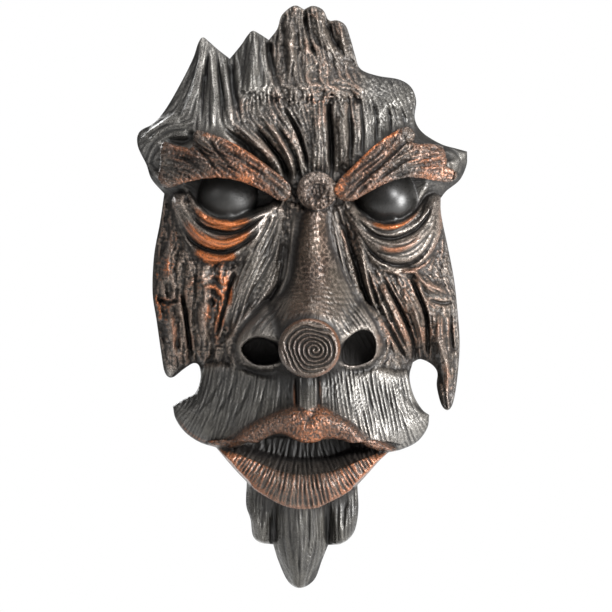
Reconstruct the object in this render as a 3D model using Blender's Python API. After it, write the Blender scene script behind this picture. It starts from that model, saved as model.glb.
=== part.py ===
# Tree face wall sculpture: one hollow-backed casting.
# Metres, +Z up. The face looks along -Y and its back lies on the wall plane y = 0.
# The origin is the middle of the flat pad that bears on the wall behind the forehead.
import bmesh
import bpy
import numpy as np
from mathutils import Vector
from mathutils.geometry import delaunay_2d_cdt

# Sizes
FACE_HEIGHT = 0.378
FACE_DEPTH = 0.098
SHELL_WALL = 0.0075
HOLLOW_DEPTH = 0.050
PAD_WIDTH = 0.046
PAD_HEIGHT = 0.030
PAD_DRAFT = 0.007
BACK_SOFTNESS = 0.006
FRONT_STEP = 0.0020
BACK_STEP = 0.0036
RIM_STEP = 0.0032
GRID_STEP = 0.0015
FACET_COUNT = 9400
WALL_SNAP = 0.0006

# The carving is set out on a grid: so many parts to the face's height, and so many to its depth
HEIGHT_PARTS = 378
DEPTH_PARTS = 98
PART = FACE_HEIGHT / HEIGHT_PARTS
DEPTH_PART = FACE_DEPTH / DEPTH_PARTS

# No carved line's facets start nearer the silhouette than this, in parts
RIM_MARGIN = 1.5

# Silhouette, clockwise from the crown
OUTLINE = {
    "crown": [(-23.5, 51.8), (-18, 59), (-15, 68), (-7, 74.2), (-0.6, 71.6), (5, 74), (11.5, 71.5),
              (15.5, 64.6), (21, 64.6), (26.5, 61), (30, 51), (32.5, 42), (36, 33)],
    "right shoulder": [(47, 28.6), (61, 26.2), (69, 21), (72.2, 12), (71.2, 1)],
    "right brow wing": [(76, -8), (88, -15.6), (98, -18.6), (105.2, -20.6), (105, -29),
                        (100.5, -39), (92, -46)],
    "right cheek": [(88, -51), (88.4, -62), (92.6, -82), (96.8, -104), (99.4, -128), (100.4, -148),
                    (98.6, -170), (96, -184), (92.6, -188.6), (88.6, -185), (85.6, -173),
                    (86, -164), (82, -158.6), (75, -155.4), (70, -157.4)],
    "right moustache": [(67.8, -167), (70.6, -179), (76, -188), (80.6, -191.6), (79.4, -200),
                        (73, -208.8), (63, -213.8), (54, -215.8)],
    "right jaw": [(48, -221.4), (40, -230.4), (34, -237), (34.6, -254), (31.6, -268), (24, -275),
                  (15, -276)],
    "beard": [(11, -286), (6, -298.6), (-3, -304), (-11, -299.6), (-17.4, -286), (-20.6, -275.6)],
    "left jaw": [(-29, -274.4), (-33.8, -270), (-35.4, -259), (-38.2, -250), (-37.8, -235),
                 (-47, -225.2), (-57.6, -212.6)],
    "left moustache": [(-68, -209.4), (-77.6, -203), (-84, -194), (-85.8, -185.6), (-78, -180.8),
                       (-71, -177), (-67.8, -168), (-68.6, -160)],
    "left cheek": [(-72.4, -158), (-79, -162), (-86.4, -167.4), (-91, -164), (-93.4, -151),
                   (-96.4, -130), (-99, -112), (-98, -88), (-94, -66), (-91.4, -48)],
    "left brow hood": [(-99.6, -38.6), (-103, -29), (-108.6, -17), (-107.6, -8), (-98, -2), (-90, 7.6)],
    "left spikes": [(-80, 25), (-72.6, 40), (-69.4, 49.6), (-66.4, 53.6), (-62.6, 51), (-57, 46),
                    (-48.8, 39.6), (-41.6, 48.4), (-37.4, 54.6), (-34, 57.8), (-29.6, 55.8)],
}
CORNERS = [(-23.5, 51.8), (-0.6, 71.6), (105.2, -20.6), (88, -51), (70, -157.4), (80.6, -191.6),
           (54, -215.8), (34, -237), (15, -276), (-20.6, -275.6), (-37.8, -235), (-57.6, -212.6),
           (-85.8, -185.6), (-91.4, -48), (-48.8, 39.6)]

# Swell of the face down its middle: height up the face, depth
MIDDLE = [(78, 20), (60, 24), (40, 31), (20, 38), (0, 44), (-20, 48), (-40, 47), (-60, 42), (-90, 39),
          (-120, 40), (-150, 42), (-175, 44), (-200, 44), (-222, 38), (-240, 31), (-262, 28),
          (-285, 24), (-306, 16)]
EDGE_DEPTH = 11
EDGE_ROUND = 46

# Outlines of the two brows, and the depth of their crest along x
LEFT_BROW = [(-92.5, -29), (-92.5, -16.4), (-90, -15.8), (-84, -18), (-74.5, -20.3), (-71.6, -19),
             (-71.2, -10), (-69.4, -8.2), (-62, -10.4), (-52.6, -13.7), (-44, -18), (-35, -23.6),
             (-24, -31.7), (-15.4, -38.3), (-10.4, -44), (-10, -49), (-13, -52.4), (-18, -51),
             (-24, -47), (-31, -43.6), (-39.5, -40), (-48, -37.8), (-57, -36.8), (-68, -37.8),
             (-79, -40.4), (-86.5, -43), (-92, -43.4), (-94, -38)]
RIGHT_BROW = [(20.6, -45.4), (23, -39.5), (31.6, -31.4), (43.4, -19.8), (52.6, -12.8), (62, -7),
              (66.5, -5.8), (70.2, -8.7), (69.6, -13), (66.5, -15.4), (73.5, -17.4), (85, -16.3),
              (89.2, -17.6), (89.8, -23.4), (91, -28), (89.6, -31), (95.6, -33.6), (99, -36),
              (98, -38.4), (93, -40), (85, -39), (76, -37.2), (66.5, -36.6), (57, -38.4),
              (48, -42.5), (38.6, -47.7), (31.6, -51.8), (26, -52.4), (21.8, -50)]
BROW_TOP = [(-105, 40), (-90, 47), (-70, 55), (-40, 63), (-12, 62), (5, 57), (22, 62), (45, 64),
            (70, 56), (90, 46), (105, 40)]
BROW_SIDE = 1.2
BROW_BEVEL = (3, 4)

LEFT_SOCKET = [(-79, -41), (-66, -37), (-52, -35.5), (-36, -40), (-22, -47), (-17, -53), (-21, -57),
               (-30, -61), (-42, -64.5), (-54, -64.5), (-64, -60), (-72, -52)]
RIGHT_SOCKET = [(29, -52), (36, -46), (47, -39), (60, -35), (72, -36.5), (79, -43), (74, -52),
                (68, -60), (60, -65), (50, -66), (40, -63), (33, -57.5)]
SOCKET_DEPTH = 29
SOCKET_SIDE = 2.2
EYES = [(-50.2, -50.6, 19.4, 45), (53, -52, 19.6, 45.5)]

# Swollen bags under the eyes: x, z, half width, crest depth
BAGS = [
    [(-79, -54, 6, 38), (-70, -66, 10, 44), (-57, -76, 14, 49), (-43, -76.6, 13.6, 50),
     (-31, -69, 10, 49), (-20, -58.6, 4, 45)],
    [(30, -60, 4, 45), (39, -72, 9, 48), (52, -80, 13, 51), (66, -79, 13.6, 49), (77, -69, 10, 42),
     (83, -54, 5, 34)],
]
BAG_ROUND = 9
BAG_BLEND = 6

KNOT = (7.5, -46.5, 12, 61)
KNOT_STEP = (0.25, 0.7, 0.92, 1.16)

# Nose: x, z, half width, crest depth
NOSE = [(7, -58, 13, 52), (6, -70, 12.5, 55), (6, -85, 14, 60), (8, -100, 17, 66),
        (9, -115, 22, 73), (7, -128, 25, 81), (4, -140, 24, 85), (3, -150, 20, 84)]
NOSE_ROUND = 26
WINGS = [(-26.5, -143, 20.5, 21, 68), (32.5, -142, 18.5, 21, 68)]
NOSTRILS = [[(-41, -150), (-38, -144), (-31, -141), (-22, -143), (-17, -148), (-17, -156),
             (-24, -159), (-34, -157.5)],
            [(23.5, -150), (28, -141), (36, -136), (43, -138), (46, -145), (44, -155), (34, -159.5),
             (25.5, -158.5)]]
NOSTRIL_DEPTH = 30
NOSTRIL_SIDE = 2
KNOB = (2.8, -148, 19.6, 18.6, 98)
KNOB_STEP = (0.84, 0.97, 1.05)

# Moustache fan: depth down its middle, and spread
FAN = [(-150, 44), (-165, 48), (-180, 53), (-192, 59), (-204, 62), (-216, 60)]
FAN_TOP = [(-90, -178), (-70, -166), (-64, -158), (-52, -157), (-44, -160), (-30, -162), (0, -166),
           (25, -162), (48, -160), (58, -163), (66, -163), (72, -180), (85, -186)]
UPPER_LIP = [(-60, -209.6, 2.6, 40), (-50, -209.4, 3.6, 46), (-42, -206, 4.6, 52),
             (-32, -201, 6, 58), (-22, -197, 6.6, 63), (-12, -195, 8.2, 66), (-5, -195.6, 9.8, 67),
             (2, -199.4, 8.6, 67), (9, -195.5, 10.2, 67), (17, -197, 8, 65),
             (27, -200.6, 6.2, 60), (36, -206.4, 5, 54), (46, -211, 3.6, 48), (57, -214, 2.4, 40)]
UPPER_LIP_ROUND = 8
MOUTH = [(-50, -214), (-42, -212.4), (-34, -208.6), (-26, -205), (-17, -202.6), (-8, -205),
         (2, -207.6), (12, -205.4), (22, -205.4), (30, -207.6), (40, -212.4), (47, -215),
         (42, -218), (33, -222), (22, -226.6), (8, -229.6), (-6, -229.6), (-20, -226.6),
         (-32, -221.6), (-42, -217.4)]
MOUTH_DEPTH = 28
INNER_LIP = [(-50, -209), (-36, -211), (-28, -214.5), (-20, -217.5), (-12, -219.5), (-3, -220.6),
             (5, -220.4), (15, -219.5), (22, -217.5), (30, -214), (38, -211), (50, -210)]
INNER_LIP_RISE = (10.5, 24)
MOUTH_SIDE = 1.8
LOWER_LIP = [(-55, -213, 4, 38), (-46, -219, 7, 46), (-37, -225.6, 9.6, 52), (-27, -231.6, 11, 57),
             (-14, -236.4, 12, 60), (-1, -238, 12.6, 61), (12, -236.4, 12, 60), (24, -231.6, 11, 57),
             (34, -225.4, 9.6, 52), (43, -219.6, 7, 46), (51, -215, 4, 38)]
LOWER_LIP_EDGE = [(-60, -208), (-58, -212), (-50, -221), (-44, -228), (-38, -234), (-30, -240.5),
                  (-20, -246.5), (-12, -250), (-3, -251.6), (7, -251), (14, -248), (22, -244),
                  (30, -239), (36, -234), (42, -228.6), (48, -221.6), (54, -215.6), (54, -208)]
LOWER_LIP_SIDE = 1.8
# Long grooves combed down and outward over the fan: where each starts, and how far it leans
COMB_STARTS = (-52, -43, -34, -24, -14, 16, 25, 35, 45, 56)
COMB_LEAN = 0.42
COMB_GROOVE = (2, -2.6)
PHILTRUM = [(1.8, -164, 5.4, 52), (1.7, -175, 5.4, 58), (1.6, -186, 5.2, 64), (1.6, -191, 4.4, 66)]
PHILTRUM_ROUND = 3

CHIN = [
    [(-28, -238, 9, 36), (-28, -256, 9, 31), (-27, -270, 7, 24)],
    [(25, -236, 9.6, 36), (25, -256, 9.6, 32), (23, -270, 8, 25)],
    [(-3, -240, 16.6, 42), (-3, -256, 16, 40), (-3.4, -276, 14, 34), (-4, -292, 10, 27),
     (-4, -303, 6, 20)],
]

# Forehead and crown rolls and hollows: x, z, half width, rise (a hollow is negative)
CARVING = {
    "spikes": [
        [(-65, 50, 2.5, 3), (-68, 35, 4, 5), (-73, 15, 5, 5), (-80, 0, 6, 3)],
        [(-63.6, 47, 1.6, -2), (-64, 30, 2.2, -4), (-66, 12, 2.4, -4), (-68, -3, 2, -2)],
        [(-61, 46, 1.6, 2), (-59.6, 30, 2.4, 4), (-59, 10, 3, 5), (-60, -6, 3, 3)],
        [(-57, 42, 1.6, -2.4), (-55.4, 28, 2.2, -4.4), (-53.6, 12, 2.4, -4.4), (-53, -2, 2, -2)],
        [(-53, 40, 1.6, 2), (-51.4, 26, 2.4, 4), (-49.4, 10, 2.6, 4), (-47, -6, 2.4, 2)],
        [(-48, 38, 3, -5), (-47, 25, 3.6, -7), (-45, 12, 3.4, -5), (-42, 0, 2, -2)],
        [(-33, 55, 3, 4), (-33, 44, 5, 6), (-34, 30, 6, 6), (-35, 16, 6, 3)],
        [(-23.4, 51, 3, -6), (-23, 42, 3.6, -7), (-20, 30, 3, -5), (-17, 20, 2, -2)],
    ],
    "crown": [
        [(-11, 68, 4, 4), (-10, 55, 5, 6), (-8, 40, 5, 6), (-6, 24, 5, 4)],
        [(0, 72, 1.8, -5), (0.6, 62, 2.2, -6), (2.4, 54, 2, -4), (5, 46, 2, -3), (8, 37, 1.6, -2)],
        [(7, 70, 4, 4), (8, 62, 4.4, 4), (12, 52, 4.4, 4), (18, 42, 4, 3)],
        [(15.6, 63, 1.8, -4), (17.6, 54, 2, -5), (22, 44, 2, -3)],
        [(22, 61, 3.6, 3), (25, 50, 4, 4), (28, 40, 4, 3)],
    ],
    "shoulder": [
        [(26, 24, 10, 3), (42, 19, 12, 5), (57, 14, 12, 5), (64, 3, 9, 3)],
        [(28, 14, 1.8, -2), (29, 0, 2, -4), (29.6, -14, 2, -4), (28, -28, 1.6, -2)],
        [(36, 12, 1.6, -2), (37, 0, 1.8, -3), (37.6, -12, 1.8, -3), (36, -24, 1.4, -2)],
        [(44, 11, 1.6, -2), (46, 0, 1.8, -3), (46, -14, 1.6, -2)],
        [(53, 9, 1.6, -2), (55, 0, 1.8, -3), (55, -8, 1.4, -2)],
        [(62, 8, 1.4, -2), (64, 1, 1.6, -2), (65, -4, 1.4, -1)],
    ],
    "forehead": [
        [(-46, 14, 7, 2), (-30, 20, 9, 3), (-12, 22, 9, 3), (6, 21, 9, 3), (24, 20, 9, 3),
         (40, 18, 7, 2)],
        [(16, 14, 2, -4), (15.6, 5, 2.6, -9), (16.6, -8, 2.8, -10), (17, -22, 2.8, -10),
         (18, -36, 2.4, -7)],
        [(8, 10, 5, 3), (8, -8, 6, 5), (8, -24, 6, 5), (8, -34, 5, 3)],
        [(24, 10, 4.4, 3), (24.6, -6, 5, 5), (25, -20, 5, 5), (24, -32, 4.4, 4)],
        [(-15, 8, 1.6, -3), (-9, 0, 2.2, -6), (-3.6, -11, 2.4, -8), (0.4, -24, 2, -6),
         (2, -34, 1.6, -3)],
        [(-20, -4, 1.8, -4), (-13, -14, 2.6, -8), (-6.6, -27, 2.8, -9), (-3.6, -40, 2.4, -7)],
        [(-34, -4, 1.8, -4), (-25, -14, 2.8, -9), (-16, -26, 3, -10), (-9.4, -40, 2.6, -8)],
        [(-47, -2, 3, 3), (-35, -12, 4, 7), (-24, -22, 4.4, 8), (-13.6, -34, 4, 6)],
        [(-27, 0, 3.4, 3), (-18, -10, 4, 6), (-10, -22, 4, 7), (-5.6, -36, 3.6, 5)],
        [(-52, -6, 2, -3), (-40, -15, 2.4, -5), (-30, -24, 2.2, -4)],
    ],
    "hoods": [
        [(-101, -10, 8, 4), (-90, -2, 7, 4), (-80, 0, 6, 3)],
        [(-90, -11, 3, -3), (-83, -13.6, 4, -5), (-76, -13, 4, -6), (-74.5, -5, 3, -3)],
        [(-98, -32, 5, 5), (-92, -41, 5, 6), (-82, -43, 4, 3)],
        [(96, -26, 6, 5), (98, -36, 5, 4)],
        [(76, -4, 4, -3), (84, -11, 3, -3)],
    ],
    "folds": [
        [(-77, -47, 2, 2), (-72, -56, 2.8, 5), (-62, -64.6, 3.4, 6), (-51, -67.6, 3.4, 6),
         (-39, -65.8, 3, 5), (-28, -61.6, 2.4, 4), (-19, -57, 1.8, 2)],
        [(-75, -60, 1.8, -3), (-66, -69.5, 2.2, -6), (-55, -73.4, 2.4, -7), (-43, -72.6, 2.2, -6),
         (-31, -65.6, 1.8, -4)],
        [(-80, -62, 2.4, 2), (-70, -74.6, 3.4, 4), (-60, -79.4, 3.8, 4), (-49, -80, 3.8, 4),
         (-37, -74, 3, 3), (-28, -66, 2, 2)],
        [(-83, -66, 1.8, -3), (-73, -79, 2.3, -6), (-61, -85.2, 2.5, -7), (-49, -85.4, 2.3, -6),
         (-37, -78.6, 1.8, -4), (-29, -71, 1.4, -2)],
        [(-76, -82, 2.6, 2), (-65, -90, 3.6, 4), (-53, -91, 3.6, 4), (-41, -85, 2.6, 2)],
        [(32, -61, 2, 3), (40, -66.6, 2.8, 5), (50, -69.4, 3.4, 6), (60, -68.8, 3.4, 6),
         (71, -62, 3, 5), (78, -52, 2.2, 3)],
        [(35, -66, 1.6, -3), (42, -73, 2, -5), (50, -76.8, 2.4, -7), (60, -76.8, 2.4, -7),
         (71.4, -71.4, 2.2, -6), (79, -62.6, 1.8, -4), (81, -55, 1.4, -2)],
        [(40, -79, 2.6, 2), (49, -83.4, 4, 4), (60, -84, 4.6, 4), (71, -79.6, 4.4, 4),
         (80, -70, 3.4, 3)],
        [(37, -78, 1.8, -3), (43, -86, 2.2, -5), (52, -92.4, 2.4, -7), (63, -94, 2.4, -7),
         (72.4, -91, 2.2, -6), (81, -81.6, 1.8, -4), (86, -70, 1.4, -2)],
        [(50, -97, 2, 2), (62, -99, 3.2, 3), (75, -95.6, 3.2, 3), (85, -86, 2.4, 2)],
    ],
    "left cheek": [
        [(-12, -60, 2.4, -7), (-13, -76, 2.8, -8), (-14, -92, 3, -8), (-17, -106, 3, -8),
         (-23, -116, 3, -8), (-31, -125, 3, -9), (-40, -134, 3, -9), (-44.6, -142, 3, -9),
         (-45, -150, 3, -9), (-41, -158, 2.6, -7), (-32, -163, 2.2, -4)],
        [(-28, -70, 6, 3), (-32, -88, 9, 6), (-38, -105, 9, 5), (-46, -124, 7, 3)],
        [(-22, -62, 1.6, -3), (-27, -74, 1.8, -3), (-36, -88, 1.6, -2)],
        [(-66, -111, 2, 2), (-63, -108.6, 2.6, 5), (-58, -109, 2.6, 5), (-54, -115, 2.2, 4)],
        [(-62, -116, 3.4, -6), (-59, -121, 2.6, -4)],
        [(-67, -90, 5, 3), (-66, -112, 6, 6), (-65, -132, 7, 8), (-66, -148, 6, 7)],
        [(-80, -112, 1.6, -6), (-77.6, -124, 2.2, -12), (-75.6, -140, 2.4, -13), (-74, -154, 2.2, -8)],
        [(-86, -75, 4, 3), (-88, -95, 5, 5), (-88, -108, 5, 5)],
        [(-88, -123, 5, 5), (-86.6, -140, 5, 6), (-87, -158, 4, 5)],
        [(-95, -117, 1.8, -5), (-88, -118.4, 2, -6), (-82, -117, 1.6, -4)],
        [(-45, -98, 1.6, -3), (-50, -112, 2, -5), (-54, -128, 2, -5), (-57, -142, 1.8, -4)],
        [(-53, -94, 2, 3), (-56, -104, 2.4, 3)],
    ],
    "brows": [
        [(-71, -13, 1.4, -2), (-66, -22, 1.8, -3.4), (-58, -32, 1.4, -2)],
        [(-64, -12, 1.2, -2), (-56, -22, 1.6, -3), (-48, -31, 1.2, -2)],
        [(-88, -22, 1.4, -2), (-76, -27, 1.8, -2.6), (-66, -33, 1.4, -1.6)],
        [(-50, -21, 1.4, -2), (-36, -30, 1.6, -2.4), (-24, -39, 1.4, -1.6)],
        [(-80, -21, 3, 2), (-66, -26, 3.4, 2.6), (-50, -27, 3.4, 2), (-34, -35, 3, 1.6)],
        [(30, -47, 1.4, -1.6), (44, -34, 1.7, -2.8), (58, -21, 1.5, -2.6), (67, -11, 1.2, -1.6)],
        [(42, -42, 1.3, -1.6), (56, -32, 1.6, -2.8), (70, -24, 1.5, -2.6), (86, -19, 1.3, -1.8)],
        [(56, -36, 1.2, -1.6), (70, -31.4, 1.5, -2.6), (90, -27, 1.3, -2)],
        [(34, -38, 2.4, 1.6), (48, -26, 3, 2.2), (62, -13, 2.6, 2)],
        [(64, -26, 2.4, 1.6), (78, -22, 2.6, 2.2), (88, -22, 2.2, 1.6)],
    ],
    "right cheek": [
        [(24, -62, 2.2, -5), (28, -78, 2.4, -6), (33, -94, 2.6, -6), (37, -108, 2.6, -7),
         (43, -122, 2.6, -7), (50, -134, 2.8, -8), (53, -144, 2.8, -8),
         (51, -153, 2.6, -7), (43, -161, 2.2, -4)],
        [(33, -76, 3.6, 3), (38, -92, 4, 5), (44, -112, 4.4, 6), (53, -130, 4, 5), (61, -150, 3.6, 3)],
        [(39, -88, 1.6, -4), (43, -108, 2.2, -8), (51, -128, 2.4, -9), (61, -147, 2.2, -8),
         (67, -158, 1.8, -4)],
        [(48, -104, 3, 3), (54, -118, 4, 5), (62, -134, 4, 5), (68, -148, 3, 3)],
        [(51, -103, 1.6, -4), (58, -116, 2.2, -8), (65, -130, 2.4, -9), (70, -144, 2, -7),
         (71, -155, 1.6, -4)],
        [(62, -108, 3, 3), (70, -122, 3.6, 5), (74, -136, 3.4, 5), (75.6, -150, 3, 3)],
        [(68, -101, 1.8, -5), (73, -113, 2.4, -9), (78, -126, 2.4, -10), (79.6, -140, 2, -8),
         (79.6, -154, 1.6, -4)],
        [(70, -100, 3.4, 4), (80, -108, 4.4, 7), (92, -112, 4, 5)],
        [(80, -116.6, 2, -5), (88, -119, 2.2, -6), (95, -119, 1.8, -4)],
        [(88, -124, 4, 5), (87, -140, 5, 7), (90, -156, 5, 6), (92.6, -176, 3.6, 4)],
        [(95, -124, 1.6, -3), (94.6, -138, 1.8, -5), (96, -152, 1.6, -3)],
    ],
    "moustache": [
        [(-4.6, -164, 1.8, -4), (-4.8, -176, 1.8, -4), (-4.6, -187, 1.6, -4)],
        [(8, -164, 1.8, -4), (8.2, -176, 1.8, -4), (7.8, -187, 1.6, -4)],
        [(-7.4, -164, 1.8, 2), (-7.8, -176, 1.8, 2), (-7.4, -187, 1.6, 2)],
        [(11, -164, 1.8, 2), (11.2, -176, 1.8, 2), (10.8, -187, 1.6, 2)],
    ],
    "beard": [
        [(-19.4, -248, 2.2, -6), (-19.6, -262, 2.4, -8), (-19.6, -274, 2, -6)],
        [(13.6, -246, 2.2, -6), (14.4, -260, 2.4, -8), (14, -274, 2, -6)],
        [(-10, -252, 1.6, -2), (-9, -270, 1.8, -4), (-7, -288, 1.6, -3)],
        [(3, -252, 1.6, -2), (3, -270, 1.8, -4), (1, -288, 1.6, -3)],
        [(-29, -250, 1.6, -3), (-28.6, -266, 1.6, -3)],
        [(26, -246, 1.6, -3), (25, -264, 1.6, -3)],
    ],
}


def ease(low, high, value):
    t = np.clip((value - low) / (high - low), 0, 1)
    return t * t * (3 - 2 * t)


def join_soft(a, b, blend):
    """The higher of two surfaces, with a rounded seam."""
    share = np.clip(0.5 + 0.5 * (a - b) / blend, 0, 1)
    return b + (a - b) * share + blend * share * (1 - share)


def smooth_line(points, steps=5):
    """A curve through the points; every column is carried along it."""
    p = np.asarray(points, float)
    first = 2 * p[0] - p[1]
    last = 2 * p[-1] - p[-2]
    p = np.vstack([first, p, last])
    out = []
    for a, b, c, d in zip(p[:-3], p[1:-2], p[2:-1], p[3:]):
        for t in np.arange(steps) / steps:
            out.append(0.5 * (2 * b + (c - a) * t + (2 * a - 5 * b + 4 * c - d) * t ** 2
                              + (3 * b - a - 3 * c + d) * t ** 3))
    out.append(p[-2])
    return np.array(out)


def smooth_loop(points, steps=3):
    """A closed curve through the points."""
    p = [tuple(point) for point in points]
    return smooth_line(p[-2:] + p + p[:2], steps)[2 * steps:-steps - 1]


def silhouette(steps=5):
    """The outline as one loop: curved, and sharp at its corners."""
    points = [p for run in OUTLINE.values() for p in run]
    start = points.index(CORNERS[0])
    points = points[start:] + points[:start + 1]
    loop = []
    run = points[:1]
    for point in points[1:]:
        run.append(point)
        if point in CORNERS:
            loop.extend(smooth_line(run, steps)[:-1])
            run = [point]
    return np.array(loop)


def inside(x, z, loop):
    """Distance to a closed loop, positive inside it."""
    nearest = np.full(x.shape, 1e12)
    within = np.zeros(x.shape, bool)
    for a, b in zip(loop, np.roll(loop, -1, axis=0)):
        ex, ez = b[0] - a[0], b[1] - a[1]
        t = np.clip(((x - a[0]) * ex + (z - a[1]) * ez) / (ex * ex + ez * ez + 1e-9), 0, 1)
        nearest = np.minimum(nearest, (x - a[0] - t * ex) ** 2 + (z - a[1] - t * ez) ** 2)
        if a[1] != b[1]:
            within ^= ((a[1] > z) != (b[1] > z)) & (x < a[0] + (z - a[1]) * ex / (b[1] - a[1]))
    return np.where(within, 1, -1) * np.sqrt(nearest)


def along(x, z, points):
    """Distance from a line as a share of its half width, the line's height there, and its nearer end."""
    line = smooth_line(points)
    reach = line[:, 2].max()
    share = np.full(x.shape, 9.0)
    height = np.zeros(x.shape)
    end = np.zeros(x.shape)
    low = line[:, :2].min(0) - reach
    high = line[:, :2].max(0) + reach
    near = np.nonzero((x > low[0]) & (x < high[0]) & (z > low[1]) & (z < high[1]))
    px, pz = x[near], z[near]
    best = np.full(px.shape, 1e12)
    width = np.ones(px.shape)
    level = np.zeros(px.shape)
    place = np.zeros(px.shape)
    for number, (a, b) in enumerate(zip(line[:-1], line[1:])):
        step = b - a
        length = step[0] ** 2 + step[1] ** 2 + 1e-9
        t = np.clip(((px - a[0]) * step[0] + (pz - a[1]) * step[1]) / length, 0, 1)
        gap = (px - a[0] - t * step[0]) ** 2 + (pz - a[1] - t * step[1]) ** 2
        closer = gap < best
        best = np.where(closer, gap, best)
        width = np.where(closer, a[2] + step[2] * t, width)
        level = np.where(closer, a[3] + step[3] * t, level)
        place = np.where(closer, (number + t) / (len(line) - 1), place)
    share[near] = np.sqrt(best) / np.maximum(width, 0.2)
    height[near] = level
    end[near] = np.minimum(place, 1 - place)
    return share, height, end


def carve(x, z, depth, points):
    """Raises or cuts a soft line that runs out at both ends."""
    share, rise, end = along(x, z, points)
    return depth + rise * (1 - np.clip(share, 0, 1) ** 2) ** 2 * ease(-0.04, 0.2, end)


def roll(x, z, depth, points, drop, blend=2.0):
    """Lays a rounded bar with its own crest depth on the face."""
    share, crest, _ = along(x, z, points)
    bar = crest - drop * np.clip(share, 0, 1.25) ** 2
    bar = np.where(share < 1.25, bar, -50)
    return join_soft(depth, bar, blend)


def level_in(x, z, depth, loop, target, soft):
    """Takes a closed patch to its own depth, with a steep side."""
    mask = ease(-soft, soft, inside(x, z, smooth_loop(loop)))
    return depth + (target - depth) * mask


def comb_strokes():
    """The long grooves of the moustache fan."""
    half, cut = COMB_GROOVE
    for start in COMB_STARTS:
        lean = COMB_LEAN * start
        length = 38 - 0.2 * abs(start)
        yield [(start, -166, 0.8 * half, 0.6 * cut),
               (start + 0.4 * lean, -166 - 0.5 * length, half, cut),
               (start + lean, -166 - length, 0.8 * half, 0.6 * cut)]


def face_depth(x, z, edge):
    """Depth of the front of the face over the wall; edge is the distance in from the silhouette."""
    middle = smooth_line(MIDDLE)[::-1]
    swell = np.interp(z, middle[:, 0], middle[:, 1])
    rise = 1 - (1 - np.clip(edge / EDGE_ROUND, 0, 1)) ** 2.2
    depth = EDGE_DEPTH + (swell - EDGE_DEPTH) * rise
    for group in ("spikes", "crown", "shoulder", "forehead", "hoods"):
        for points in CARVING[group]:
            depth = carve(x, z, depth, points)
    for loop in (LEFT_SOCKET, RIGHT_SOCKET):
        depth = level_in(x, z, depth, loop, SOCKET_DEPTH, SOCKET_SIDE)
    for cx, cz, radius, front in EYES:
        ball = front - radius + np.sqrt(np.clip(radius ** 2 - (x - cx) ** 2 - (z - cz) ** 2, 0, None))
        depth = np.where((x - cx) ** 2 + (z - cz) ** 2 < radius ** 2, np.maximum(depth, ball), depth)
    for points in BAGS:
        depth = roll(x, z, depth, points, BAG_ROUND, BAG_BLEND)
    for group in ("folds", "left cheek", "right cheek"):
        for points in CARVING[group]:
            depth = carve(x, z, depth, points)
    top = np.array(BROW_TOP, float)
    for loop in (LEFT_BROW, RIGHT_BROW):
        gap = inside(x, z, np.array(loop, float))
        crest = np.interp(x, top[:, 0], top[:, 1]) - BROW_BEVEL[0] * (1 - ease(-1, BROW_BEVEL[1], gap))
        depth = depth + (crest - depth) * ease(-BROW_SIDE, BROW_SIDE, gap)
    for points in CARVING["brows"]:
        depth = carve(x, z, depth, points)
    # Nose, wings and the cut branch end
    depth = roll(x, z, depth, NOSE, NOSE_ROUND, 6)
    for cx, cz, wide, high, crest in WINGS:
        share = ((x - cx) / wide) ** 2 + ((z - cz) / high) ** 2
        depth = join_soft(depth, np.where(share < 1.5, crest - 22 * share, -50), 7)
    # Moustache, lips and mouth
    fan = np.array(FAN[::-1], float)
    crest = 26 + (np.interp(z, fan[:, 0], fan[:, 1]) - 26) * np.exp(-(np.abs(x) / 56) ** 2.4)
    crest = crest - 12 * (1 - np.clip(edge / 14, 0, 1)) ** 2
    brim = np.array(FAN_TOP, float)
    under = np.interp(x, brim[:, 0], brim[:, 1]) - z
    mask = ease(-2, 4, under) * (z > -222)
    depth = depth + (crest - depth) * mask
    for points in CARVING["moustache"] + list(comb_strokes()):
        depth = carve(x, z, depth, points)
    for points in CHIN:
        depth = roll(x, z, np.where(z < -222, np.minimum(depth, 27), depth), points, 12, 3)
    for points in CARVING["beard"]:
        depth = carve(x, z, depth, points)
    brink = np.array(INNER_LIP, float)
    slope = ease(0, INNER_LIP_RISE[0], np.interp(x, brink[:, 0], brink[:, 1]) - z)
    depth = level_in(x, z, depth, MOUTH, MOUTH_DEPTH + INNER_LIP_RISE[1] * slope, MOUTH_SIDE)
    share, crest, _ = along(x, z, LOWER_LIP)
    swell = join_soft(MOUTH_DEPTH + INNER_LIP_RISE[1] * slope, crest - 13 * np.clip(share, 0, 3) ** 2, 4)
    mask = ease(-LOWER_LIP_SIDE, LOWER_LIP_SIDE, inside(x, z, smooth_loop(LOWER_LIP_EDGE)))
    mask = np.where(share < 3, mask, 0)
    mask *= ease(-2, 2, np.interp(x, brink[:, 0], brink[:, 1]) - z)
    depth = depth + (swell - depth) * mask
    depth = roll(x, z, depth, UPPER_LIP, UPPER_LIP_ROUND, 2)
    depth = roll(x, z, depth, PHILTRUM, PHILTRUM_ROUND, 1)
    for loop in NOSTRILS:
        depth = level_in(x, z, depth, loop, NOSTRIL_DEPTH, NOSTRIL_SIDE)
    cx, cz, wide, high, crest = KNOB
    share = np.sqrt(((x - cx) / wide) ** 2 + ((z - cz) / high) ** 2)
    face = crest - 4 * ease(KNOB_STEP[0], 1, share)
    depth = depth + (face - depth) * (1 - ease(KNOB_STEP[1], KNOB_STEP[2], share))
    # Knot between the brows
    cx, cz, radius, crest = KNOT
    share = np.hypot(x - cx, z - cz) / radius
    face = crest - 3 * (1 - ease(KNOT_STEP[0], 0.6, share)) - 4 * ease(KNOT_STEP[1], 1, share)
    depth = depth + (face - depth) * (1 - ease(KNOT_STEP[2], KNOT_STEP[3], share))
    return np.maximum(depth, EDGE_DEPTH - 2)


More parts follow.
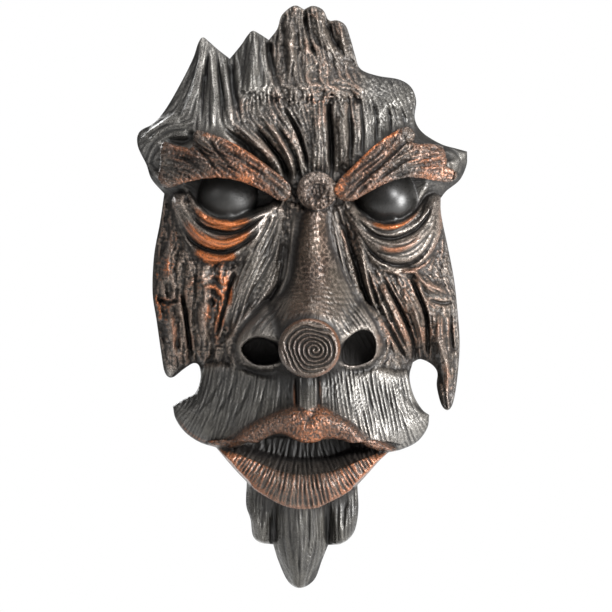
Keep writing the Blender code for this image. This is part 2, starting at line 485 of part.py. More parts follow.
def even_loop(loop, step):
    """The outline again with even steps between its corners."""
    corners = [int(np.argmin(np.hypot(*(loop - np.array(c)).T))) for c in CORNERS]
    corners.sort()
    out = []
    for first, last in zip(corners, corners[1:] + [corners[0] + len(loop)]):
        run = np.array([loop[i % len(loop)] for i in range(first, last + 1)])
        length = np.concatenate([[0], np.cumsum(np.hypot(*np.diff(run, axis=0).T))])
        count = max(2, int(round(length[-1] / step)))
        for s in np.linspace(0, length[-1], count, endpoint=False):
            out.append((np.interp(s, length, run[:, 0]), np.interp(s, length, run[:, 1])))
    return np.array(out)


def surface_points(loop, step):
    """Even points inside the outline, kept off its edge."""
    low = loop.min(0)
    high = loop.max(0)
    rows = np.arange(low[1], high[1], step * np.sqrt(0.75))
    points = []
    for number, z in enumerate(rows):
        offset = 0.5 * step * (number % 2)
        points.extend((x, z) for x in np.arange(low[0] + offset, high[0], step))
    points = np.array(points)
    gap = inside(points[:, 0], points[:, 1], loop)
    return points[gap > 0.55 * step]


def soften(field, reach):
    """Three box blurs along both ways of a grid."""
    for axis in (0, 1, 0, 1, 0, 1):
        total = np.zeros_like(field)
        for shift in range(-reach, reach + 1):
            total += np.roll(field, shift, axis)
        field = total / (2 * reach + 1)
    return field


def back_depth_grid(loop, step):
    """Depth of the hollow back over the wall: a wall's thickness behind the front everywhere."""
    wall = SHELL_WALL / PART
    margin = 2 * wall
    xs = np.arange(loop[:, 0].min() - margin, loop[:, 0].max() + margin, step)
    zs = np.arange(loop[:, 1].min() - margin, loop[:, 1].max() + margin, step)
    x, z = np.meshgrid(xs, zs)
    edge = inside(x, z, loop)
    front = np.where(edge > 0, face_depth(x, z, edge) * DEPTH_PART / PART, 0)
    reach = int(wall / step)
    back = front - wall
    for i in range(-reach, reach + 1):
        for j in range(-reach, reach + 1):
            room = wall ** 2 - (i * step) ** 2 - (j * step) ** 2
            if room >= 0:
                back = np.minimum(back, np.roll(front, (i, j), (0, 1)) - np.sqrt(room))
    back = np.clip(back, 0, HOLLOW_DEPTH / PART)
    back = np.minimum(back, soften(back, max(1, int(BACK_SOFTNESS / PART / step / 2))))
    draft = PAD_DRAFT / PART
    side = np.maximum(np.abs(x) - PAD_WIDTH / PART / 2, np.abs(z) - PAD_HEIGHT / PART / 2)
    back = back * ease(0, draft, side)
    return xs, zs, np.where(back < 0.4, 0, back)


def read_grid(xs, zs, field, x, z):
    """Value between the grid's places."""
    step = xs[1] - xs[0]
    u = np.clip((x - xs[0]) / step, 0, len(xs) - 1.001)
    v = np.clip((z - zs[0]) / step, 0, len(zs) - 1.001)
    i, j = u.astype(int), v.astype(int)
    u, v = u - i, v - j
    low = field[j, i] * (1 - u) + field[j, i + 1] * u
    high = field[j + 1, i] * (1 - u) + field[j + 1, i + 1] * u
    return low * (1 - v) + high * v


def oval(cx, cz, wide, high, share):
    """A closed oval at a share of its full size."""
    turn = np.linspace(0, 2 * np.pi, 28, endpoint=False)
    return np.stack([cx + share * wide * np.cos(turn), cz + share * high * np.sin(turn)], 1)


def offset(loop, distance):
    """The loop again, moved in by a distance."""
    loop = np.asarray(loop, float)
    along_edge = np.roll(loop, -1, axis=0) - np.roll(loop, 1, axis=0)
    along_edge /= np.hypot(*along_edge.T)[:, None]
    sideways = np.stack([-along_edge[:, 1], along_edge[:, 0]], 1)
    area = np.sum(loop[:, 0] * np.roll(loop[:, 1], -1) - np.roll(loop[:, 0], -1) * loop[:, 1])
    return loop + sideways * distance * np.sign(area)


def both_sides(line):
    """A bar's crest line and its two edges."""
    run = np.gradient(line[:, :2], axis=0)
    run /= np.hypot(*run.T)[:, None]
    across = np.stack([-run[:, 1], run[:, 0]], 1) * line[:, 2:3]
    return [line[:, :2], line[:, :2] + across, line[:, :2] - across]


def crease_lines():
    """Lines that the front's facets follow: both sides of each steep step, and each carved line."""
    loops = []
    for loop in (LEFT_BROW, RIGHT_BROW):
        loops += [offset(loop, -BROW_SIDE), offset(loop, BROW_SIDE)]
    for loop in (LEFT_SOCKET, RIGHT_SOCKET):
        loops += [offset(smooth_loop(loop, 2), side) for side in (-SOCKET_SIDE, SOCKET_SIDE)]
    for loop in NOSTRILS:
        loops += [offset(smooth_loop(loop, 2), side) for side in (-NOSTRIL_SIDE, NOSTRIL_SIDE)]
    loops += [offset(smooth_loop(MOUTH, 2), side) for side in (-MOUTH_SIDE, MOUTH_SIDE)]
    loops += [offset(smooth_loop(LOWER_LIP_EDGE, 2), side) for side in (-LOWER_LIP_SIDE, LOWER_LIP_SIDE)]
    loops += [oval(*KNOB[:4], share) for share in KNOB_STEP]
    loops += [oval(KNOT[0], KNOT[1], KNOT[2], KNOT[2], share) for share in KNOT_STEP]
    loops += [oval(cx, cz, radius, radius, 0.97) for cx, cz, radius, front in EYES]
    lines = [np.vstack([loop, loop[:1]]) for loop in loops]
    bars = [points for group in CARVING.values() for points in group] + list(comb_strokes())
    for points in bars + BAGS + [NOSE, UPPER_LIP, LOWER_LIP, PHILTRUM]:
        lines += both_sides(smooth_line(points, 2))
    return lines


def pad_lines():
    """The pad's edge and the foot of its drafted sides."""
    lines = []
    for grow in (0, PAD_DRAFT / PART):
        wide = PAD_WIDTH / PART / 2 + grow
        high = PAD_HEIGHT / PART / 2 + grow
        lines.append(np.array([(-wide, -high), (wide, -high), (wide, high), (-wide, high), (-wide, -high)]))
    return lines


def facets(rim, lines, step):
    """Triangles over the outline that follow the given lines."""
    spread = surface_points(rim, step)
    clear = np.full(len(spread), True)
    for line in lines:
        for a, b in zip(line[:-1], line[1:]):
            ex, ez = b - a
            length = ex * ex + ez * ez + 1e-9
            t = np.clip(((spread[:, 0] - a[0]) * ex + (spread[:, 1] - a[1]) * ez) / length, 0, 1)
            gap = np.hypot(spread[:, 0] - a[0] - t * ex, spread[:, 1] - a[1] - t * ez)
            clear &= gap > 0.45 * step
    flat = list(rim)
    edges = [(i, (i + 1) % len(rim)) for i in range(len(rim))]
    for line in lines:
        kept = inside(line[:, 0], line[:, 1], rim) > RIM_MARGIN
        number = len(flat) + np.cumsum(kept) - 1
        edges += [(number[i], number[i + 1]) for i in range(len(line) - 1) if kept[i] and kept[i + 1]]
        flat.extend(line[kept])
    flat.extend(spread[clear])
    points, _, faces, _, _, _ = delaunay_2d_cdt([Vector(p) for p in flat], edges, [], 1, 1e-3)
    return np.array([tuple(p) for p in points]), faces


def casting_mesh():
    loop = silhouette()
    rim = even_loop(loop, RIM_STEP / PART)
    count = len(rim)
    points, faces = facets(rim, crease_lines(), FRONT_STEP / PART)
    x, z = points[:, 0], points[:, 1]
    front = face_depth(x, z, np.clip(inside(x, z, rim), 0, None)) * DEPTH_PART
    mesh = bmesh.new()
    fore = [mesh.verts.new((a * PART, -d, b * PART)) for a, b, d in zip(x, z, front)]
    for face in faces:
        mesh.faces.new([fore[i] for i in face])
    points, faces = facets(rim, pad_lines(), BACK_STEP / PART)
    x, z = points[:, 0], points[:, 1]
    xs, zs, grid = back_depth_grid(rim, GRID_STEP / PART)
    back = read_grid(xs, zs, grid, x, z) * PART
    back[:count] = 0
    rear = [mesh.verts.new((a * PART, -d, b * PART)) for a, b, d in zip(x, z, back)]
    for face in faces:
        mesh.faces.new([rear[i] for i in reversed(face)])
    for i in range(count):
        k = (i + 1) % count
        mesh.faces.new((fore[k], fore[i], rear[i], rear[k]))
    bmesh.ops.recalc_face_normals(mesh, faces=mesh.faces[:])
    bmesh.ops.triangulate(mesh, faces=mesh.faces[:])
    data = bpy.data.meshes.new("tree_face")
    mesh.to_mesh(data)
    mesh.free()
    return data


def resin_material():
    material = bpy.data.materials.new("dark_bronze_resin")
    material.use_nodes = True
    shader = material.node_tree.nodes["Principled BSDF"]
    shader.inputs["Base Color"].default_value = (0.035, 0.032, 0.032, 1)
    shader.inputs["Metallic"].default_value = 0.35
    shader.inputs["Roughness"].default_value = 0.42
    return material


def thinned(data):
    """The casting in its final facets, its rim and pad lying flat on the wall plane."""
    fine = bpy.data.objects.new("fine", data)
    bpy.context.scene.collection.objects.link(fine)
    modifier = fine.modifiers.new("facets", "DECIMATE")
    modifier.use_collapse_triangulate = True
    modifier.ratio = FACET_COUNT / len(data.polygons)
    graph = bpy.context.evaluated_depsgraph_get()
    mesh = bpy.data.meshes.new_from_object(fine.evaluated_get(graph))
    bpy.data.objects.remove(fine, do_unlink=True)
    for vertex in mesh.vertices:
        if vertex.co.y > -WALL_SNAP:
            vertex.co.y = 0
    mesh.name = "tree_face"
    return mesh


for item in list(bpy.data.objects):
    bpy.data.objects.remove(item, do_unlink=True)

face = bpy.data.objects.new("tree_face", thinned(casting_mesh()))
bpy.context.scene.collection.objects.link(face)
face.data.materials.append(resin_material())
face.data.shade_smooth()
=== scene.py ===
import bmesh
import bpy
import numpy as np
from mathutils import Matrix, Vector
from mathutils.geometry import delaunay_2d_cdt


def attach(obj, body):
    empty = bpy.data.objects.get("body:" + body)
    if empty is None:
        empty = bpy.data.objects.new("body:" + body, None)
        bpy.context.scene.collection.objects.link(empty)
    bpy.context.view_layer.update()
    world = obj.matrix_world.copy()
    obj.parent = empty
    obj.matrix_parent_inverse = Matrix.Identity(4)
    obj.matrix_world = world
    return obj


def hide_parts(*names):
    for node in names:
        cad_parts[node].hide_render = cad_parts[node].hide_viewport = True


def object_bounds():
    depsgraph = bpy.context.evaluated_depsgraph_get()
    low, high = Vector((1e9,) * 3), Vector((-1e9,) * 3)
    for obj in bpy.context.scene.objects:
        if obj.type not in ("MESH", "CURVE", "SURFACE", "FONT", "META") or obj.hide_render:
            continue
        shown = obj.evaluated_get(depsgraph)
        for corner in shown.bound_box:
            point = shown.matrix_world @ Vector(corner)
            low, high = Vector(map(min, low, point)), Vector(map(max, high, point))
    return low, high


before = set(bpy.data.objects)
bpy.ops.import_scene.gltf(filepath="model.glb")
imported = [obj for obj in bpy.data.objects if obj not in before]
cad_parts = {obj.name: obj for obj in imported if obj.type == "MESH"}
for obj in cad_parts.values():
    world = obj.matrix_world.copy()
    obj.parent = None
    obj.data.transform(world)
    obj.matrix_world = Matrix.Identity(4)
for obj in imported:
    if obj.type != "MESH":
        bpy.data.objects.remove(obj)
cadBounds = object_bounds()
print("frame loaded")

mm = 0.001

casting = {
    "edgeDepth": 11,  # how far the outline stands off the wall
    "edgeRound": 46,  # how far in from it the face rounds up
    "edgeCurve": 2.2,
    "browSide": 1.2,
    "browBevel": (3, 4),
    "socketDepth": 29,
    "socketSide": 2.2,
    "bagRound": 9,
    "bagBlend": 6,
    "noseRound": 26,
    "noseBlend": 6,
    "wingRound": 22,
    "wingBlend": 7,
    "nostrilDepth": 30,
    "nostrilSide": 2,
    "fanSideDepth": 26,  # the moustache falls back to this at its sides
    "fanHalfWidth": 56,
    "fanEdge": (12, 14),
    "fanFoot": -222,
    "upperLipRound": 8,
    "philtrumRound": 3,
    "mouthDepth": 28,
    "mouthSide": 1.8,
    "innerLipRise": (10.5, 24),
    "lowerLipRound": 13,
    "lowerLipSide": 1.8,
    "beardDepth": 27,
    "beardRound": 12,
    "endRound": 4,  # rim of both sawn ends
    "knobSides": (0.84, 0.97, 1.05),  # shares of its radius: rounding of the rim, top and foot of the side
    "knotSides": (0.7, 0.92, 1.16),
    "knotDip": 3,
    "wingCrease": 5,  # depth of the dark crease round each wing of the nose
    "gutter": 5.5,  # fills the sharp gutters beside the philtrum
    "ledge": 2.3,  # step where the crown's bark breaks off over the forehead
    "knobRings": 3.3,  # spacing of the growth rings
    "knotRings": 2.6,
    "knobDish": 1.6,
    "undercut": {"brow": 2.8, "mouth": 1.6, "lowerLip": 2.2, "leftNostril": 1.2, "rightNostril": 1.6,
                 "knob": 1.2, "knot": 1.5},
    "shellWall": 7.5,
    "hollowDepth": 50,
    "padWidth": 46,
    "padHeight": 30,
    "padDraft": 7,
    "frontStep": 0.85,  # spacing of the mesh points
    "knobStep": 0.5,
    "backStep": 3.0,
    "rimStep": 1.1,
    "seed": 11,
}

# Silhouette, clockwise from the crown
outline = {
    "crown": [(-23.5, 51.8), (-18, 59), (-15, 68), (-7, 74.2), (-0.6, 71.6), (5, 74), (11.5, 71.5),
        (15.5, 64.6), (21, 64.6), (26.5, 61), (30, 51), (32.5, 42), (36, 33)],
    "right shoulder": [(47, 28.6), (61, 26.2), (69, 21), (72.2, 12), (71.2, 1)],
    "right brow wing": [(76, -8), (88, -15.6), (98, -18.6), (105.2, -20.6), (105, -29), (100.5, -39),
        (92, -46)],
    "right cheek": [(88, -51), (88.4, -62), (92.6, -82), (96.8, -104), (99.4, -128), (100.4, -148),
        (98.6, -170), (96, -184), (92.6, -188.6), (88.6, -185), (85.6, -173), (86, -164), (82, -158.6),
        (75, -155.4), (70, -157.4)],
    "right moustache": [(67.8, -167), (70.6, -179), (76, -188), (80.6, -191.6), (79.4, -200), (73, -208.8),
        (63, -213.8), (54, -215.8)],
    "right jaw": [(48, -221.4), (40, -230.4), (34, -237), (34.6, -254), (31.6, -268), (24, -275),
        (15, -276)],
    "beard": [(11, -286), (6, -298.6), (-3, -304), (-11, -299.6), (-17.4, -286), (-20.6, -275.6)],
    "left jaw": [(-29, -274.4), (-33.8, -270), (-35.4, -259), (-38.2, -250), (-37.8, -235), (-47, -225.2),
        (-57.6, -212.6)],
    "left moustache": [(-68, -209.4), (-77.6, -203), (-84, -194), (-85.8, -185.6), (-78, -180.8),
        (-71, -177), (-67.8, -168), (-68.6, -160)],
    "left cheek": [(-72.4, -158), (-79, -162), (-86.4, -167.4), (-91, -164), (-93.4, -151), (-96.4, -130),
        (-99, -112), (-98, -88), (-94, -66), (-91.4, -48)],
    "left brow hood": [(-99.6, -38.6), (-103, -29), (-108.6, -17), (-107.6, -8), (-98, -2), (-90, 7.6)],
    "left spikes": [(-80, 25), (-72.6, 40), (-69.4, 49.6), (-66.4, 53.6), (-62.6, 51), (-57, 46),
        (-48.8, 39.6), (-41.6, 48.4), (-37.4, 54.6), (-34, 57.8), (-29.6, 55.8)],
}
outlineCorners = [
    (-23.5, 51.8), (-0.6, 71.6), (105.2, -20.6), (88, -51), (70, -157.4), (80.6, -191.6), (54, -215.8),
    (34, -237), (15, -276), (-20.6, -275.6), (-37.8, -235), (-57.6, -212.6), (-85.8, -185.6), (-91.4, -48),
    (-48.8, 39.6),
]

# Swell of the face down its middle: height up the face, depth
middleSwell = [
    (78, 20), (60, 24), (40, 31), (20, 38), (0, 44), (-20, 48), (-40, 47), (-60, 42), (-90, 39), (-120, 40),
    (-150, 42), (-175, 44), (-200, 44), (-222, 38), (-240, 31), (-262, 28), (-285, 24), (-306, 16),
]

# Outlines of the two brows, and the depth of their crest along x
leftBrow = [
    (-92.5, -29), (-92.5, -16.4), (-90, -15.8), (-84, -18), (-74.5, -20.3), (-71.6, -19), (-71.2, -10),
    (-69.4, -8.2), (-62, -10.4), (-52.6, -13.7), (-44, -18), (-35, -23.6), (-24, -31.7), (-15.4, -38.3),
    (-10.4, -44), (-10, -49), (-13, -52.4), (-18, -51), (-24, -47), (-31, -43.6), (-39.5, -40),
    (-48, -37.8), (-57, -36.8), (-68, -37.8), (-79, -40.4), (-86.5, -43), (-92, -43.4), (-94, -38),
]
rightBrow = [
    (20.6, -45.4), (23, -39.5), (31.6, -31.4), (43.4, -19.8), (52.6, -12.8), (62, -7), (66.5, -5.8),
    (70.2, -8.7), (69.6, -13), (66.5, -15.4), (73.5, -17.4), (85, -16.3), (89.2, -17.6), (89.8, -23.4),
    (91, -28), (89.6, -31), (95.6, -33.6), (99, -36), (98, -38.4), (93, -40), (85, -39), (76, -37.2),
    (66.5, -36.6), (57, -38.4), (48, -42.5), (38.6, -47.7), (31.6, -51.8), (26, -52.4), (21.8, -50),
]
browTop = [
    (-105, 40), (-90, 47), (-70, 55), (-40, 63), (-12, 62), (5, 57), (22, 62), (45, 64), (70, 56), (90, 46),
    (105, 40),
]

# Sockets, and the eyes: x, z, radius, front
leftSocket = [
    (-79, -41), (-66, -37), (-52, -35.5), (-36, -40), (-22, -47), (-17, -53), (-21, -57), (-30, -61),
    (-42, -64.5), (-54, -64.5), (-64, -60), (-72, -52),
]
rightSocket = [
    (29, -52), (36, -46), (47, -39), (60, -35), (72, -36.5), (79, -43), (74, -52), (68, -60), (60, -65),
    (50, -66), (40, -63), (33, -57.5),
]
eyes = [
    (-50.2, -50.6, 19.4, 45), (53, -52, 19.6, 45.5),
]

# Swollen bags under the eyes: x, z, half width, crest depth
eyeBags = [
    [(-79, -54, 6, 38), (-70, -66, 10, 44), (-57, -76, 14, 49), (-43, -76.6, 13.6, 50), (-31, -69, 10, 49),
     (-20, -58.6, 4, 45)],
    [(30, -60, 4, 45), (39, -72, 9, 48), (52, -80, 13, 51), (66, -79, 13.6, 49), (77, -69, 10, 42),
     (83, -54, 5, 34)],
]

# Nose: x, z, half width, crest depth; its wings and both sawn ends: x, z, half sizes, front
nose = [
    (7, -58, 13, 52), (6, -70, 12.5, 55), (6, -85, 14, 60), (8, -100, 17, 66), (9, -115, 22, 73),
    (7, -128, 25, 81), (4, -140, 24, 85), (3, -150, 20, 84),
]
noseWings = [
    (-26.5, -143, 20.5, 21, 68), (32.5, -142, 18.5, 21, 68),
]
nostrils = [
    [(-41, -150), (-38, -144), (-31, -141), (-22, -143), (-17, -148), (-17, -156), (-24, -159),
     (-34, -157.5)],
    [(23.5, -150), (28, -141), (36, -136), (43, -138), (46, -145), (44, -155), (34, -159.5),
     (25.5, -158.5)],
]
knob = (2.8, -148, 19.6, 18.6, 98)
knobHeart = (3.4, -1)  # the growth rings' heart, off the middle
knot = (7.5, -46.5, 12, 12, 61)
noseTip = (4, -150)  # the skin over the tip curves round this place

# Moustache: depth down its middle, the line of its top, and its combed grooves
fan = [
    (-150, 44), (-165, 48), (-180, 53), (-192, 59), (-204, 62), (-216, 60),
]
fanTop = [
    (-90, -178), (-70, -166), (-64, -158), (-52, -157), (-44, -160), (-30, -162), (0, -166), (25, -162),
    (48, -160), (58, -163), (66, -163), (72, -180), (85, -186),
]
combStarts = (-52, -43, -34, -24, -14, 16, 25, 35, 45, 56)
combTop = -166
combLength = 38
combLean = 0.42
combGroove = (2, -2.6)  # half width, rise
moustacheFoot = -217

# Lips: x, z, half width, crest depth; the mouth and the edges as outlines
upperLip = [
    (-60, -209.6, 2.6, 40), (-50, -209.4, 3.6, 46), (-42, -206, 4.6, 52), (-32, -201, 6, 58),
    (-22, -197, 6.6, 63), (-12, -195, 8.2, 66), (-5, -195.6, 9.8, 67), (2, -199.4, 8.6, 67),
    (9, -195.5, 10.2, 67), (17, -197, 8, 65), (27, -200.6, 6.2, 60), (36, -206.4, 5, 54),
    (46, -211, 3.6, 48), (57, -214, 2.4, 40),
]
mouth = [
    (-50, -214), (-42, -212.4), (-34, -208.6), (-26, -205), (-17, -202.6), (-8, -205), (2, -207.6),
    (12, -205.4), (22, -205.4), (30, -207.6), (40, -212.4), (47, -215), (42, -218), (33, -222),
    (22, -226.6), (8, -229.6), (-6, -229.6), (-20, -226.6), (-32, -221.6), (-42, -217.4),
]
innerLip = [
    (-50, -209), (-36, -211), (-28, -214.5), (-20, -217.5), (-12, -219.5), (-3, -220.6), (5, -220.4),
    (15, -219.5), (22, -217.5), (30, -214), (38, -211), (50, -210),
]
lowerLip = [
    (-55, -213, 4, 38), (-46, -219, 7, 46), (-37, -225.6, 9.6, 52), (-27, -231.6, 11, 57),
    (-14, -236.4, 12, 60), (-1, -238, 12.6, 61), (12, -236.4, 12, 60), (24, -231.6, 11, 57),
    (34, -225.4, 9.6, 52), (43, -219.6, 7, 46), (51, -215, 4, 38),
]
lowerLipEdge = [
    (-60, -208), (-58, -212), (-50, -221), (-44, -228), (-38, -234), (-30, -240.5), (-20, -246.5),
    (-12, -250), (-3, -251.6), (7, -251), (14, -248), (22, -244), (30, -239), (36, -234), (42, -228.6),
    (48, -221.6), (54, -215.6), (54, -208),
]
philtrum = [
    (1.8, -164, 5.4, 52), (1.7, -175, 5.4, 58), (1.6, -186, 5.2, 64), (1.6, -191, 4.4, 66),
]
lipCrest = [(-48, -212), (-31, -221), (-14, -228), (-1, -230.5), (14, -228), (26, -222), (46, -214)]
lipLineReach = 9

# Beard lobes: x, z, half width, crest depth
chin = [
    [(-28, -238, 9, 36), (-28, -256, 9, 31), (-27, -270, 7, 24)],
    [(25, -236, 9.6, 36), (25, -256, 9.6, 32), (23, -270, 8, 25)],
    [(-3, -240, 16.6, 42), (-3, -256, 16, 40), (-3.4, -276, 14, 34), (-4, -292, 10, 27), (-4, -303, 6, 20)],
]

# Strip of bark that hangs beside the right cheek
stripLeft = 84
stripTop = -150
stripFoot = -192

rollReach = 1.25  # a rolled bar ends this many half widths from its middle
farBelow = -50

